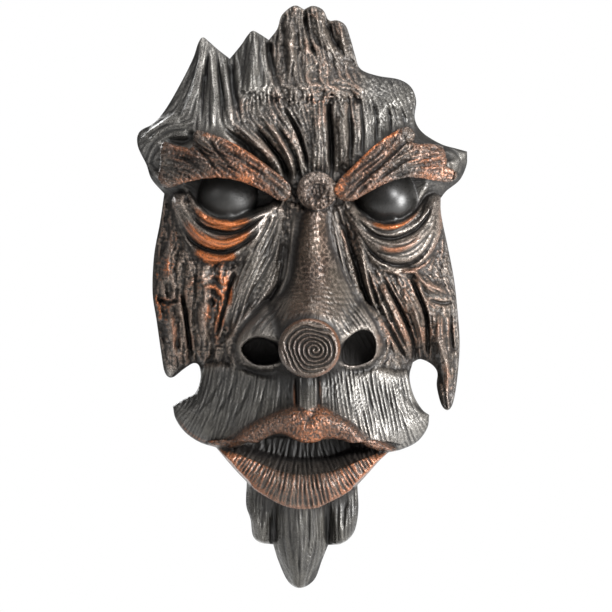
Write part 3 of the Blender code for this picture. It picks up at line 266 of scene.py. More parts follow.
# Carved rolls and hollows: x, z, half width, rise (a hollow is negative)
carving = {
    "spikes": [
        [(-65, 50, 2.5, 3), (-68, 35, 4, 5), (-73, 15, 5, 5), (-80, 0, 6, 3)],
        [(-63.6, 47, 1.6, -2), (-64, 30, 2.2, -4), (-66, 12, 2.4, -4), (-68, -3, 2, -2)],
        [(-61, 46, 1.6, 2), (-59.6, 30, 2.4, 4), (-59, 10, 3, 5), (-60, -6, 3, 3)],
        [(-57, 42, 1.6, -2.4), (-55.4, 28, 2.2, -4.4), (-53.6, 12, 2.4, -4.4), (-53, -2, 2, -2)],
        [(-53, 40, 1.6, 2), (-51.4, 26, 2.4, 4), (-49.4, 10, 2.6, 4), (-47, -6, 2.4, 2)],
        [(-48, 38, 3, -5), (-47, 25, 3.6, -7), (-45, 12, 3.4, -5), (-42, 0, 2, -2)],
        [(-33, 55, 3, 4), (-33, 44, 5, 6), (-34, 30, 6, 6), (-35, 16, 6, 3)],
        [(-23.4, 51, 3, -6), (-23, 42, 3.6, -7), (-20, 30, 3, -5), (-17, 20, 2, -2)],
    ],
    "crown": [
        [(-11, 68, 4, 4), (-10, 55, 5, 6), (-8, 40, 5, 6), (-6, 24, 5, 4)],
        [(0, 72, 1.8, -5), (0.6, 62, 2.2, -6), (2.4, 54, 2, -4), (5, 46, 2, -3), (8, 37, 1.6, -2)],
        [(7, 70, 4, 4), (8, 62, 4.4, 4), (12, 52, 4.4, 4), (18, 42, 4, 3)],
        [(15.6, 63, 1.8, -4), (17.6, 54, 2, -5), (22, 44, 2, -3)],
        [(22, 61, 3.6, 3), (25, 50, 4, 4), (28, 40, 4, 3)],
    ],
    "shoulder": [
        [(26, 24, 10, 3), (42, 19, 12, 5), (57, 14, 12, 5), (64, 3, 9, 3)],
        [(28, 14, 1.8, -2), (29, 0, 2, -4), (29.6, -14, 2, -4), (28, -28, 1.6, -2)],
        [(36, 12, 1.6, -2), (37, 0, 1.8, -3), (37.6, -12, 1.8, -3), (36, -24, 1.4, -2)],
        [(44, 11, 1.6, -2), (46, 0, 1.8, -3), (46, -14, 1.6, -2)],
        [(53, 9, 1.6, -2), (55, 0, 1.8, -3), (55, -8, 1.4, -2)],
        [(62, 8, 1.4, -2), (64, 1, 1.6, -2), (65, -4, 1.4, -1)],
    ],
    "forehead": [
        [(-46, 14, 7, 2), (-30, 20, 9, 3), (-12, 22, 9, 3), (6, 21, 9, 3), (24, 20, 9, 3), (40, 18, 7, 2)],
        [(16, 14, 2, -4), (15.6, 5, 2.6, -9), (16.6, -8, 2.8, -10), (17, -22, 2.8, -10),
         (18, -36, 2.4, -7)],
        [(8, 10, 5, 3), (8, -8, 6, 5), (8, -24, 6, 5), (8, -34, 5, 3)],
        [(24, 10, 4.4, 3), (24.6, -6, 5, 5), (25, -20, 5, 5), (24, -32, 4.4, 4)],
        [(-15, 8, 1.6, -3), (-9, 0, 2.2, -6), (-3.6, -11, 2.4, -8), (0.4, -24, 2, -6), (2, -34, 1.6, -3)],
        [(-20, -4, 1.8, -4), (-13, -14, 2.6, -8), (-6.6, -27, 2.8, -9), (-3.6, -40, 2.4, -7)],
        [(-34, -4, 1.8, -4), (-25, -14, 2.8, -9), (-16, -26, 3, -10), (-9.4, -40, 2.6, -8)],
        [(-47, -2, 3, 3), (-35, -12, 4, 7), (-24, -22, 4.4, 8), (-13.6, -34, 4, 6)],
        [(-27, 0, 3.4, 3), (-18, -10, 4, 6), (-10, -22, 4, 7), (-5.6, -36, 3.6, 5)],
        [(-52, -6, 2, -3), (-40, -15, 2.4, -5), (-30, -24, 2.2, -4)],
    ],
    "hoods": [
        [(-101, -10, 8, 4), (-90, -2, 7, 4), (-80, 0, 6, 3)],
        [(-90, -11, 3, -3), (-83, -13.6, 4, -5), (-76, -13, 4, -6), (-74.5, -5, 3, -3)],
        [(-98, -32, 5, 5), (-92, -41, 5, 6), (-82, -43, 4, 3)], [(96, -26, 6, 5), (98, -36, 5, 4)],
        [(76, -4, 4, -3), (84, -11, 3, -3)],
    ],
    "folds": [
        [(-77, -47, 2, 2), (-72, -56, 2.8, 5), (-62, -64.6, 3.4, 6), (-51, -67.6, 3.4, 6),
         (-39, -65.8, 3, 5), (-28, -61.6, 2.4, 4), (-19, -57, 1.8, 2)],
        [(-75, -60, 1.8, -3), (-66, -69.5, 2.2, -6), (-55, -73.4, 2.4, -7), (-43, -72.6, 2.2, -6),
         (-31, -65.6, 1.8, -4)],
        [(-80, -62, 2.4, 2), (-70, -74.6, 3.4, 4), (-60, -79.4, 3.8, 4), (-49, -80, 3.8, 4),
         (-37, -74, 3, 3), (-28, -66, 2, 2)],
        [(-83, -66, 1.8, -3), (-73, -79, 2.3, -6), (-61, -85.2, 2.5, -7), (-49, -85.4, 2.3, -6),
         (-37, -78.6, 1.8, -4), (-29, -71, 1.4, -2)],
        [(-76, -82, 2.6, 2), (-65, -90, 3.6, 4), (-53, -91, 3.6, 4), (-41, -85, 2.6, 2)],
        [(32, -61, 2, 3), (40, -66.6, 2.8, 5), (50, -69.4, 3.4, 6), (60, -68.8, 3.4, 6), (71, -62, 3, 5),
         (78, -52, 2.2, 3)],
        [(35, -66, 1.6, -3), (42, -73, 2, -5), (50, -76.8, 2.4, -7), (60, -76.8, 2.4, -7),
         (71.4, -71.4, 2.2, -6), (79, -62.6, 1.8, -4), (81, -55, 1.4, -2)],
        [(40, -79, 2.6, 2), (49, -83.4, 4, 4), (60, -84, 4.6, 4), (71, -79.6, 4.4, 4), (80, -70, 3.4, 3)],
        [(37, -78, 1.8, -3), (43, -86, 2.2, -5), (52, -92.4, 2.4, -7), (63, -94, 2.4, -7),
         (72.4, -91, 2.2, -6), (81, -81.6, 1.8, -4), (86, -70, 1.4, -2)],
        [(50, -97, 2, 2), (62, -99, 3.2, 3), (75, -95.6, 3.2, 3), (85, -86, 2.4, 2)],
    ],
    "left cheek": [
        [(-12, -60, 2.4, -7), (-13, -76, 2.8, -8), (-14, -92, 3, -8), (-17, -106, 3, -8),
         (-23, -116, 3, -8), (-31, -125, 3, -9), (-40, -134, 3, -9), (-44.6, -142, 3, -9),
         (-45, -150, 3, -9), (-41, -158, 2.6, -7), (-32, -163, 2.2, -4)],
        [(-28, -70, 6, 3), (-32, -88, 9, 6), (-38, -105, 9, 5), (-46, -124, 7, 3)],
        [(-22, -62, 1.6, -3), (-27, -74, 1.8, -3), (-36, -88, 1.6, -2)],
        [(-66, -111, 2, 2), (-63, -108.6, 2.6, 5), (-58, -109, 2.6, 5), (-54, -115, 2.2, 4)],
        [(-62, -116, 3.4, -6), (-59, -121, 2.6, -4)],
        [(-67, -90, 5, 3), (-66, -112, 6, 6), (-65, -132, 7, 8), (-66, -148, 6, 7)],
        [(-80, -112, 1.6, -6), (-77.6, -124, 2.2, -12), (-75.6, -140, 2.4, -13), (-74, -154, 2.2, -8)],
        [(-86, -75, 4, 3), (-88, -95, 5, 5), (-88, -108, 5, 5)],
        [(-88, -123, 5, 5), (-86.6, -140, 5, 6), (-87, -158, 4, 5)],
        [(-95, -117, 1.8, -5), (-88, -118.4, 2, -6), (-82, -117, 1.6, -4)],
        [(-45, -98, 1.6, -3), (-50, -112, 2, -5), (-54, -128, 2, -5), (-57, -142, 1.8, -4)],
        [(-53, -94, 2, 3), (-56, -104, 2.4, 3)],
    ],
    "brows": [
        [(-71, -13, 1.4, -2), (-66, -22, 1.8, -3.4), (-58, -32, 1.4, -2)],
        [(-64, -12, 1.2, -2), (-56, -22, 1.6, -3), (-48, -31, 1.2, -2)],
        [(-88, -22, 1.4, -2), (-76, -27, 1.8, -2.6), (-66, -33, 1.4, -1.6)],
        [(-50, -21, 1.4, -2), (-36, -30, 1.6, -2.4), (-24, -39, 1.4, -1.6)],
        [(-80, -21, 3, 2), (-66, -26, 3.4, 2.6), (-50, -27, 3.4, 2), (-34, -35, 3, 1.6)],
        [(30, -47, 1.4, -1.6), (44, -34, 1.7, -2.8), (58, -21, 1.5, -2.6), (67, -11, 1.2, -1.6)],
        [(42, -42, 1.3, -1.6), (56, -32, 1.6, -2.8), (70, -24, 1.5, -2.6), (86, -19, 1.3, -1.8)],
        [(56, -36, 1.2, -1.6), (70, -31.4, 1.5, -2.6), (90, -27, 1.3, -2)],
        [(34, -38, 2.4, 1.6), (48, -26, 3, 2.2), (62, -13, 2.6, 2)],
        [(64, -26, 2.4, 1.6), (78, -22, 2.6, 2.2), (88, -22, 2.2, 1.6)],
    ],
    "right cheek": [
        [(24, -62, 2.2, -5), (28, -78, 2.4, -6), (33, -94, 2.6, -6), (37, -108, 2.6, -7),
         (43, -122, 2.6, -7), (50, -134, 2.8, -8), (53, -144, 2.8, -8), (51, -153, 2.6, -7),
         (43, -161, 2.2, -4)],
        [(33, -76, 3.6, 3), (38, -92, 4, 5), (44, -112, 4.4, 6), (53, -130, 4, 5), (61, -150, 3.6, 3)],
        [(39, -88, 1.6, -4), (43, -108, 2.2, -8), (51, -128, 2.4, -9), (61, -147, 2.2, -8),
         (67, -158, 1.8, -4)],
        [(48, -104, 3, 3), (54, -118, 4, 5), (62, -134, 4, 5), (68, -148, 3, 3)],
        [(51, -103, 1.6, -4), (58, -116, 2.2, -8), (65, -130, 2.4, -9), (70, -144, 2, -7),
         (71, -155, 1.6, -4)],
        [(62, -108, 3, 3), (70, -122, 3.6, 5), (74, -136, 3.4, 5), (75.6, -150, 3, 3)],
        [(68, -101, 1.8, -5), (73, -113, 2.4, -9), (78, -126, 2.4, -10), (79.6, -140, 2, -8),
         (79.6, -154, 1.6, -4)],
        [(70, -100, 3.4, 4), (80, -108, 4.4, 7), (92, -112, 4, 5)],
        [(80, -116.6, 2, -5), (88, -119, 2.2, -6), (95, -119, 1.8, -4)],
        [(88, -124, 4, 5), (87, -140, 5, 7), (90, -156, 5, 6), (92.6, -176, 3.6, 4)],
        [(95, -124, 1.6, -3), (94.6, -138, 1.8, -5), (96, -152, 1.6, -3)],
    ],
    "moustache": [
        [(-4.6, -164, 1.8, -4), (-4.8, -176, 1.8, -4), (-4.6, -187, 1.6, -4)],
        [(8, -164, 1.8, -4), (8.2, -176, 1.8, -4), (7.8, -187, 1.6, -4)],
        [(-7.4, -164, 1.8, 2), (-7.8, -176, 1.8, 2), (-7.4, -187, 1.6, 2)],
        [(11, -164, 1.8, 2), (11.2, -176, 1.8, 2), (10.8, -187, 1.6, 2)],
    ],
    "beard": [
        [(-19.4, -248, 2.2, -6), (-19.6, -262, 2.4, -8), (-19.6, -274, 2, -6)],
        [(13.6, -246, 2.2, -6), (14.4, -260, 2.4, -8), (14, -274, 2, -6)],
        [(-10, -252, 1.6, -2), (-9, -270, 1.8, -4), (-7, -288, 1.6, -3)],
        [(3, -252, 1.6, -2), (3, -270, 1.8, -4), (1, -288, 1.6, -3)],
        [(-29, -250, 1.6, -3), (-28.6, -266, 1.6, -3)], [(26, -246, 1.6, -3), (25, -264, 1.6, -3)],
    ],
}


def ease(low, high, value):
    t = np.clip((value - low) / (high - low), 0, 1)
    return t * t * (3 - 2 * t)


def joinSoft(a, b, blend):
    # the higher of two surfaces, with a soft crease between them
    share = np.clip(0.5 + 0.5 * (a - b) / blend, 0, 1)
    return b + (a - b) * share + blend * share * (1 - share)


def lineAt(points, place):
    # the second value of the points, read at a place along the first
    rows = np.array(points, float)
    rows = rows[np.argsort(rows[:, 0])]
    return np.interp(place, rows[:, 0], rows[:, 1])


def ovalShare(x, z, oval):
    # 0 in the middle of an oval, 1 on its edge
    return np.hypot((x - oval[0]) / oval[2], (z - oval[1]) / oval[3])


def smoothLine(points, steps=5):
    p = np.asarray(points, float)
    p = np.vstack([2 * p[0] - p[1], p, 2 * p[-1] - p[-2]])
    out = []
    for a, b, c, d in zip(p[:-3], p[1:-2], p[2:-1], p[3:]):
        for t in np.arange(steps) / steps:
            out.append(0.5 * (2 * b + (c - a) * t + (2 * a - 5 * b + 4 * c - d) * t ** 2
                              + (3 * b - a - 3 * c + d) * t ** 3))
    out.append(p[-2])
    return np.array(out)


def smoothLoop(points, steps=3):
    p = [tuple(point) for point in points]
    return smoothLine(p[-2:] + p + p[:2], steps)[2 * steps:-steps - 1]


def silhouette(steps=5):
    # smooth between its corners, sharp at them
    points = [p for run in outline.values() for p in run]
    start = points.index(outlineCorners[0])
    points = points[start:] + points[:start + 1]
    loop = []
    run = points[:1]
    for point in points[1:]:
        run.append(point)
        if point in outlineCorners:
            loop.extend(smoothLine(run, steps)[:-1])
            run = [point]
    return np.array(loop)


def insideLoop(x, z, loop):
    # distance to the loop, more than 0 inside it
    loop = np.asarray(loop, float)
    nearest = np.full(x.shape, 1e12)
    inside = np.zeros(x.shape, bool)
    for a, b in zip(loop, np.roll(loop, -1, axis=0)):
        ex, ez = b - a
        t = np.clip(((x - a[0]) * ex + (z - a[1]) * ez) / (ex * ex + ez * ez + 1e-9), 0, 1)
        nearest = np.minimum(nearest, (x - a[0] - t * ex) ** 2 + (z - a[1] - t * ez) ** 2)
        if ez != 0:
            inside ^= ((a[1] > z) != (b[1] > z)) & (x < a[0] + (z - a[1]) * ex / ez)
    return np.where(inside, 1, -1) * np.sqrt(nearest)


def within(x, z, loop, soft):
    return ease(-soft, soft, insideLoop(x, z, loop))


def alongLine(x, z, points):
    # share of the half width, the value carried along, and nearness to an end, for places near the line
    line = smoothLine(points)
    reach = line[:, 2].max()
    share = np.full(x.shape, 9.0)
    height = np.zeros(x.shape)
    end = np.zeros(x.shape)
    low = line[:, :2].min(0) - reach
    high = line[:, :2].max(0) + reach
    near = np.nonzero((x > low[0]) & (x < high[0]) & (z > low[1]) & (z < high[1]))
    px, pz = x[near], z[near]
    best = np.full(px.shape, 1e12)
    width = np.ones(px.shape)
    level = np.zeros(px.shape)
    place = np.zeros(px.shape)
    for number, (a, b) in enumerate(zip(line[:-1], line[1:])):
        step = b - a
        length = step[0] ** 2 + step[1] ** 2 + 1e-9
        t = np.clip(((px - a[0]) * step[0] + (pz - a[1]) * step[1]) / length, 0, 1)
        gap = (px - a[0] - t * step[0]) ** 2 + (pz - a[1] - t * step[1]) ** 2
        closer = gap < best
        best = np.where(closer, gap, best)
        width = np.where(closer, a[2] + step[2] * t, width)
        level = np.where(closer, a[3] + step[3] * t, level)
        place = np.where(closer, (number + t) / (len(line) - 1), place)
    share[near] = np.sqrt(best) / np.maximum(width, 0.2)
    height[near] = level
    end[near] = np.minimum(place, 1 - place)
    return share, height, end


def carve(x, z, depth, points):
    share, rise, end = alongLine(x, z, points)
    return depth + rise * (1 - np.clip(share, 0, 1) ** 2) ** 2 * ease(-0.04, 0.2, end)


def carveGroups(x, z, depth, *groups):
    for group in groups:
        for points in carving[group]:
            depth = carve(x, z, depth, points)
    return depth


def roll(x, z, depth, points, drop, blend):
    # a rounded bar laid on the face; it ends a little outside its half width
    share, crest, _ = alongLine(x, z, points)
    bar = np.where(share < rollReach, crest - drop * np.clip(share, 0, rollReach) ** 2, farBelow)
    return joinSoft(depth, bar, blend)


def levelIn(x, z, depth, loop, target, soft):
    return depth + (target - depth) * within(x, z, smoothLoop(loop), soft)


def eyeForm(x, z, depth):
    for loop in (leftSocket, rightSocket):
        depth = levelIn(x, z, depth, loop, casting["socketDepth"], casting["socketSide"])
    for cx, cz, radius, front in eyes:
        away = (x - cx) ** 2 + (z - cz) ** 2
        ball = front - radius + np.sqrt(np.clip(radius ** 2 - away, 0, None))
        depth = np.where(away < radius ** 2, np.maximum(depth, ball), depth)
    for points in eyeBags:
        depth = roll(x, z, depth, points, casting["bagRound"], casting["bagBlend"])
    return depth


def browForm(x, z, depth):
    fall, bevel = casting["browBevel"]
    side = casting["browSide"]
    for loop in (leftBrow, rightBrow):
        gap = insideLoop(x, z, loop)
        crest = lineAt(browTop, x) - fall * (1 - ease(-1, bevel, gap))
        depth = depth + (crest - depth) * ease(-side, side, gap)
    return carveGroups(x, z, depth, "brows")


def noseForm(x, z, depth):
    depth = roll(x, z, depth, nose, casting["noseRound"], casting["noseBlend"])
    for wing in noseWings:
        share = ovalShare(x, z, wing) ** 2
        swell = np.where(share < 1.5, wing[4] - casting["wingRound"] * share, farBelow)
        depth = joinSoft(depth, swell, casting["wingBlend"])
    return depth


def combStrokes():
    # long grooves combed down and outward over the moustache
    half, cut = combGroove
    for start in combStarts:
        lean = combLean * start
        length = combLength - 0.2 * abs(start)
        yield [(start, combTop, 0.8 * half, 0.6 * cut),
               (start + 0.4 * lean, combTop - 0.5 * length, half, cut),
               (start + lean, combTop - length, 0.8 * half, 0.6 * cut)]


def moustacheForm(x, z, depth, edge):
    side = casting["fanSideDepth"]
    fall, width = casting["fanEdge"]
    crest = side + (lineAt(fan, z) - side) * np.exp(-(np.abs(x) / casting["fanHalfWidth"]) ** 2.4)
    crest -= fall * (1 - np.clip(edge / width, 0, 1)) ** 2
    depth = depth + (crest - depth) * ease(-2, 4, lineAt(fanTop, x) - z) * (z > casting["fanFoot"])
    depth = carveGroups(x, z, depth, "moustache")
    for points in combStrokes():
        depth = carve(x, z, depth, points)
    return depth


def beardForm(x, z, depth):
    for points in chin:
        low = np.where(z < casting["fanFoot"], np.minimum(depth, casting["beardDepth"]), depth)
        depth = roll(x, z, low, points, casting["beardRound"], 3)
    return carveGroups(x, z, depth, "beard")


def mouthForm(x, z, depth):
    reach, rise = casting["innerLipRise"]
    below = lineAt(innerLip, x) - z
    hollow = casting["mouthDepth"] + rise * ease(0, reach, below)
    depth = levelIn(x, z, depth, mouth, hollow, casting["mouthSide"])
    share, crest, _ = alongLine(x, z, lowerLip)
    swell = joinSoft(hollow, crest - casting["lowerLipRound"] * np.clip(share, 0, 3) ** 2, 4)
    mask = within(x, z, smoothLoop(lowerLipEdge), casting["lowerLipSide"]) * (share < 3) * ease(-2, 2, below)
    depth = depth + (swell - depth) * mask
    depth = roll(x, z, depth, upperLip, casting["upperLipRound"], 2)
    return roll(x, z, depth, philtrum, casting["philtrumRound"], 1)


def sawnEnd(x, z, depth, end, sides, dip):
    # a branch sawn off flat, its rim rounded and its heart sunk by the dip
    rim, top, foot = sides
    share = ovalShare(x, z, end)
    face = end[4] - dip * (1 - ease(0.25, 0.6, share)) - casting["endRound"] * ease(rim, 1, share)
    return depth + (face - depth) * (1 - ease(top, foot, share))


def faceDepth(x, z, edge):
    swell = lineAt(smoothLine(middleSwell), z)
    rise = 1 - (1 - np.clip(edge / casting["edgeRound"], 0, 1)) ** casting["edgeCurve"]
    depth = casting["edgeDepth"] + (swell - casting["edgeDepth"]) * rise
    depth = carveGroups(x, z, depth, "spikes", "crown", "shoulder", "forehead", "hoods")
    depth = eyeForm(x, z, depth)
    depth = carveGroups(x, z, depth, "folds", "left cheek", "right cheek")
    depth = browForm(x, z, depth)
    depth = noseForm(x, z, depth)
    depth = moustacheForm(x, z, depth, edge)
    depth = beardForm(x, z, depth)
    depth = mouthForm(x, z, depth)
    for loop in nostrils:
        depth = levelIn(x, z, depth, loop, casting["nostrilDepth"], casting["nostrilSide"])
    depth = sawnEnd(x, z, depth, knob, casting["knobSides"], 0)
    depth = sawnEnd(x, z, depth, knot, casting["knotSides"], casting["knotDip"])
    return np.maximum(depth, casting["edgeDepth"] - 2)


fieldStep = 0.5
fieldLow = np.array((-116.0, -311.0))
fieldSize = (782, 456)  # rows up the face, columns across it
chance = np.random.RandomState(casting["seed"])


def fieldGrid():
    x = fieldLow[0] + fieldStep * np.arange(fieldSize[1])
    z = fieldLow[1] + fieldStep * np.arange(fieldSize[0])
    return np.meshgrid(x, z)


def readGrid(grid, low, step, x, z):
    # reads a grid of values between its points
    u = np.clip((x - low[0]) / step, 0, grid.shape[1] - 1.001)
    v = np.clip((z - low[1]) / step, 0, grid.shape[0] - 1.001)
    i, j = u.astype(int), v.astype(int)
    u, v = u - i, v - j
    below = grid[j, i] * (1 - u) + grid[j, i + 1] * u
    above = grid[j + 1, i] * (1 - u) + grid[j + 1, i + 1] * u
    return below * (1 - v) + above * v


def readField(field, x, z):
    return readGrid(field, fieldLow, fieldStep, x, z)


def waveNumbers():
    kz = np.fft.fftfreq(fieldSize[0], fieldStep)[:, None]
    kx = np.fft.rfftfreq(fieldSize[1], fieldStep)[None, :]
    return np.hypot(kx, kz)


def blur(field, reach):
    damp = np.exp(-2 * (np.pi * reach * waveNumbers()) ** 2)
    return np.fft.irfft2(np.fft.rfft2(field) * damp, s=fieldSize)


def noiseField(wave, spread=0.35):
    # even noise whose bumps are about one wave apart
    band = np.exp(-((waveNumbers() * wave - 1) / spread) ** 2)
    out = np.fft.irfft2(np.fft.rfft2(chance.standard_normal(fieldSize)) * band, s=fieldSize)
    return out / out.std()


def flowField(guides, reach=3.0, coarse=2.0):
    # direction of the grain everywhere, taken from the lines near each place
    runs = []
    for points in guides:
        line = smoothLine(points, 4)[:, :2]
        middle, run = (line[1:] + line[:-1]) / 2, line[1:] - line[:-1]
        turn = 2 * np.arctan2(run[:, 1], run[:, 0])
        weight = np.hypot(*run.T)
        runs.append(np.stack([middle[:, 0], middle[:, 1], weight * np.cos(turn), weight * np.sin(turn)], 1))
    cx = np.arange(fieldLow[0], fieldLow[0] + fieldStep * fieldSize[1] + coarse, coarse)
    cz = np.arange(fieldLow[1], fieldLow[1] + fieldStep * fieldSize[0] + coarse, coarse)
    gx, gz = np.meshgrid(cx, cz)
    along = np.zeros(gx.shape)
    aside = np.zeros(gx.shape)
    for sx, sz, ca, sa in np.vstack(runs):
        weight = 1 / ((gx - sx) ** 2 + (gz - sz) ** 2 + reach ** 2) ** 2
        along += weight * ca
        aside += weight * sa
    size = np.hypot(along, aside) + 1e-12
    x, z = fieldGrid()
    along = readGrid(along / size, fieldLow, coarse, x, z)
    aside = readGrid(aside / size, fieldLow, coarse, x, z)
    turn = np.arctan2(aside, along) / 2
    return np.cos(turn), np.sin(turn)


def combed(noise, flow, reach):
    # drags the noise along the grain, so it turns into long grooves
    rows, cols = np.meshgrid(*(np.arange(count, dtype=float) for count in fieldSize), indexing="ij")
    total = noise.copy()
    weight = np.ones(fieldSize)
    steps = int(reach / fieldStep)
    for sign in (1, -1):
        r, c = rows.copy(), cols.copy()
        dx, dz = sign * flow[0], sign * flow[1]
        for number in range(steps):
            r, c = np.clip(r + dz, 0, fieldSize[0] - 1), np.clip(c + dx, 0, fieldSize[1] - 1)
            i, j = np.rint(r).astype(int), np.rint(c).astype(int)
            nx, nz = flow[0][i, j], flow[1][i, j]
            same = np.where(nx * dx + nz * dz < 0, -1, 1)
            dx, dz = nx * same, nz * same
            share = 0.5 + 0.5 * np.cos(np.pi * (number + 1) / (steps + 1))
            total += share * noise[i, j]
            weight += share
    total /= weight
    return total / total.std()


# lines that the bark and wood grain run along, besides the carved ones
grain = {
    "spikes": [
        [(-65, 50), (-72, 30), (-84, 8), (-96, -4)], [(-65, 48), (-64, 20), (-66, -4)],
        [(-62, 46), (-56, 20), (-52, -4)], [(-57, 42), (-50, 20), (-46, 0)],
        [(-33, 54), (-38, 34), (-42, 10)], [(-32, 54), (-31, 30), (-32, 10)],
        [(-28, 50), (-25, 30), (-24, 14)],
    ],
    "crown": [
        [(-12, 68), (-16, 50), (-18, 30), (-16, 16)], [(-6, 72), (-7, 50), (-8, 30), (-8, 14)],
        [(2, 70), (2, 50), (2, 30), (2, 14)], [(9, 70), (12, 50), (14, 30), (14, 14)],
        [(20, 62), (24, 44), (30, 26), (33, 12)], [(26, 58), (29, 44), (36, 30), (42, 14)],
    ],
    "shoulder": [
        [(44, 24), (48, 10), (52, -6)], [(56, 24), (60, 10), (64, -4)], [(68, 18), (70, 8), (70, -4)],
    ],
    "hoods": [
        [(-106, -14), (-98, -8), (-86, -4), (-74, -2)], [(-102, -24), (-98, -14), (-88, -8), (-78, -8)],
        [(-98, -36), (-92, -40), (-80, -44)], [(78, -4), (90, -14), (103, -22)],
        [(100, -22), (102, -30), (96, -40)],
    ],
    "brows": [
        [(-92, -26), (-78, -28), (-62, -24), (-44, -27), (-26, -37), (-15, -46)],
        [(-68, -14), (-58, -19), (-46, -25)], [(24, -47), (36, -38), (52, -26), (66, -12)],
        [(40, -38), (56, -30), (72, -26), (90, -20)], [(60, -33), (78, -33), (95, -37)],
    ],
    "left cheek": [
        [(-96, -60), (-96, -90), (-96, -118)],
        [(-88, -56), (-90, -84), (-92, -112), (-91, -140), (-88, -164)],
        [(-80, -78), (-83, -100), (-84, -130), (-82, -156)], [(-70, -92), (-71, -120), (-68, -150)],
        [(-62, -94), (-61, -120), (-64, -150)], [(-20, -62), (-30, -76), (-46, -94)],
        [(-18, -66), (-24, -86), (-38, -108)], [(-48, -98), (-50, -120), (-56, -145)],
        [(-40, -108), (-44, -128), (-52, -150)], [(-86, -52), (-84, -64), (-80, -78)],
    ],
    "right cheek": [
        [(84, -50), (88, -66), (90, -84)], [(86, -90), (92, -110), (96, -140), (96, -170)],
        [(84, -124), (84, -145), (88, -170)], [(30, -66), (36, -84), (42, -104)],
        [(46, -100), (56, -124), (66, -146)], [(60, -100), (68, -120), (75, -145)],
        [(74, -98), (82, -108), (92, -114)], [(28, -62), (34, -68), (42, -74)],
    ],
    "nose": [
        [(-8, -64), (-10, -80), (-12, -100), (-20, -118), (-34, -132)],
        [(-2, -62), (-3, -84), (-4, -104), (-12, -124)],
        [(15, -62), (18, -84), (22, -104), (34, -124), (46, -138)],
        [(20, -62), (26, -84), (32, -104), (42, -124)],
    ],
    "moustache": [
        [(-66, -168), (-70, -184), (-80, -196)], [(-58, -160), (-62, -178), (-72, -202)],
        [(-48, -160), (-52, -180), (-60, -206)], [(-36, -162), (-40, -180), (-46, -200)],
        [(-24, -163), (-27, -180), (-30, -196)], [(-12, -166), (-13, -176), (-14, -188)],
        [(14, -166), (15, -176), (16, -188)], [(26, -163), (28, -180), (31, -196)],
        [(38, -162), (42, -180), (47, -202)], [(50, -160), (54, -180), (60, -208)],
        [(60, -162), (64, -182), (72, -204)], [(66, -168), (70, -184), (78, -196)],
    ],
    "beard": [
        [(-34, -238), (-34, -254), (-31, -270)], [(-26, -244), (-25, -270)],
        [(-14, -252), (-13, -274), (-8, -296)], [(-5, -252), (-4, -300)], [(6, -252), (6, -276), (0, -298)],
        [(18, -244), (18, -272)], [(30, -240), (30, -266)],
    ],
}


def allGuides():
    # the carved lines, the grain lines, the bags, and short lines across the lower lip
    strokes = [points for group in carving.values() for points in group]
    guides = [[p[:2] for p in points] for points in strokes if max(abs(p[3]) for p in points) > 2.5]
    guides += [points for group in grain.values() for points in group]
    guides += [[p[:2] for p in points] for points in eyeBags]
    crest = smoothLine(lowerLip, 3)[:, :2]
    for (cx, cz), (rx, rz) in zip(crest, np.gradient(crest, axis=0)):
        nx, nz = lipLineReach * np.array((-rz, rx)) / np.hypot(rx, rz)
        guides.append([(cx - nx, cz - nz), (cx + nx, cz + nz)])
    return guides


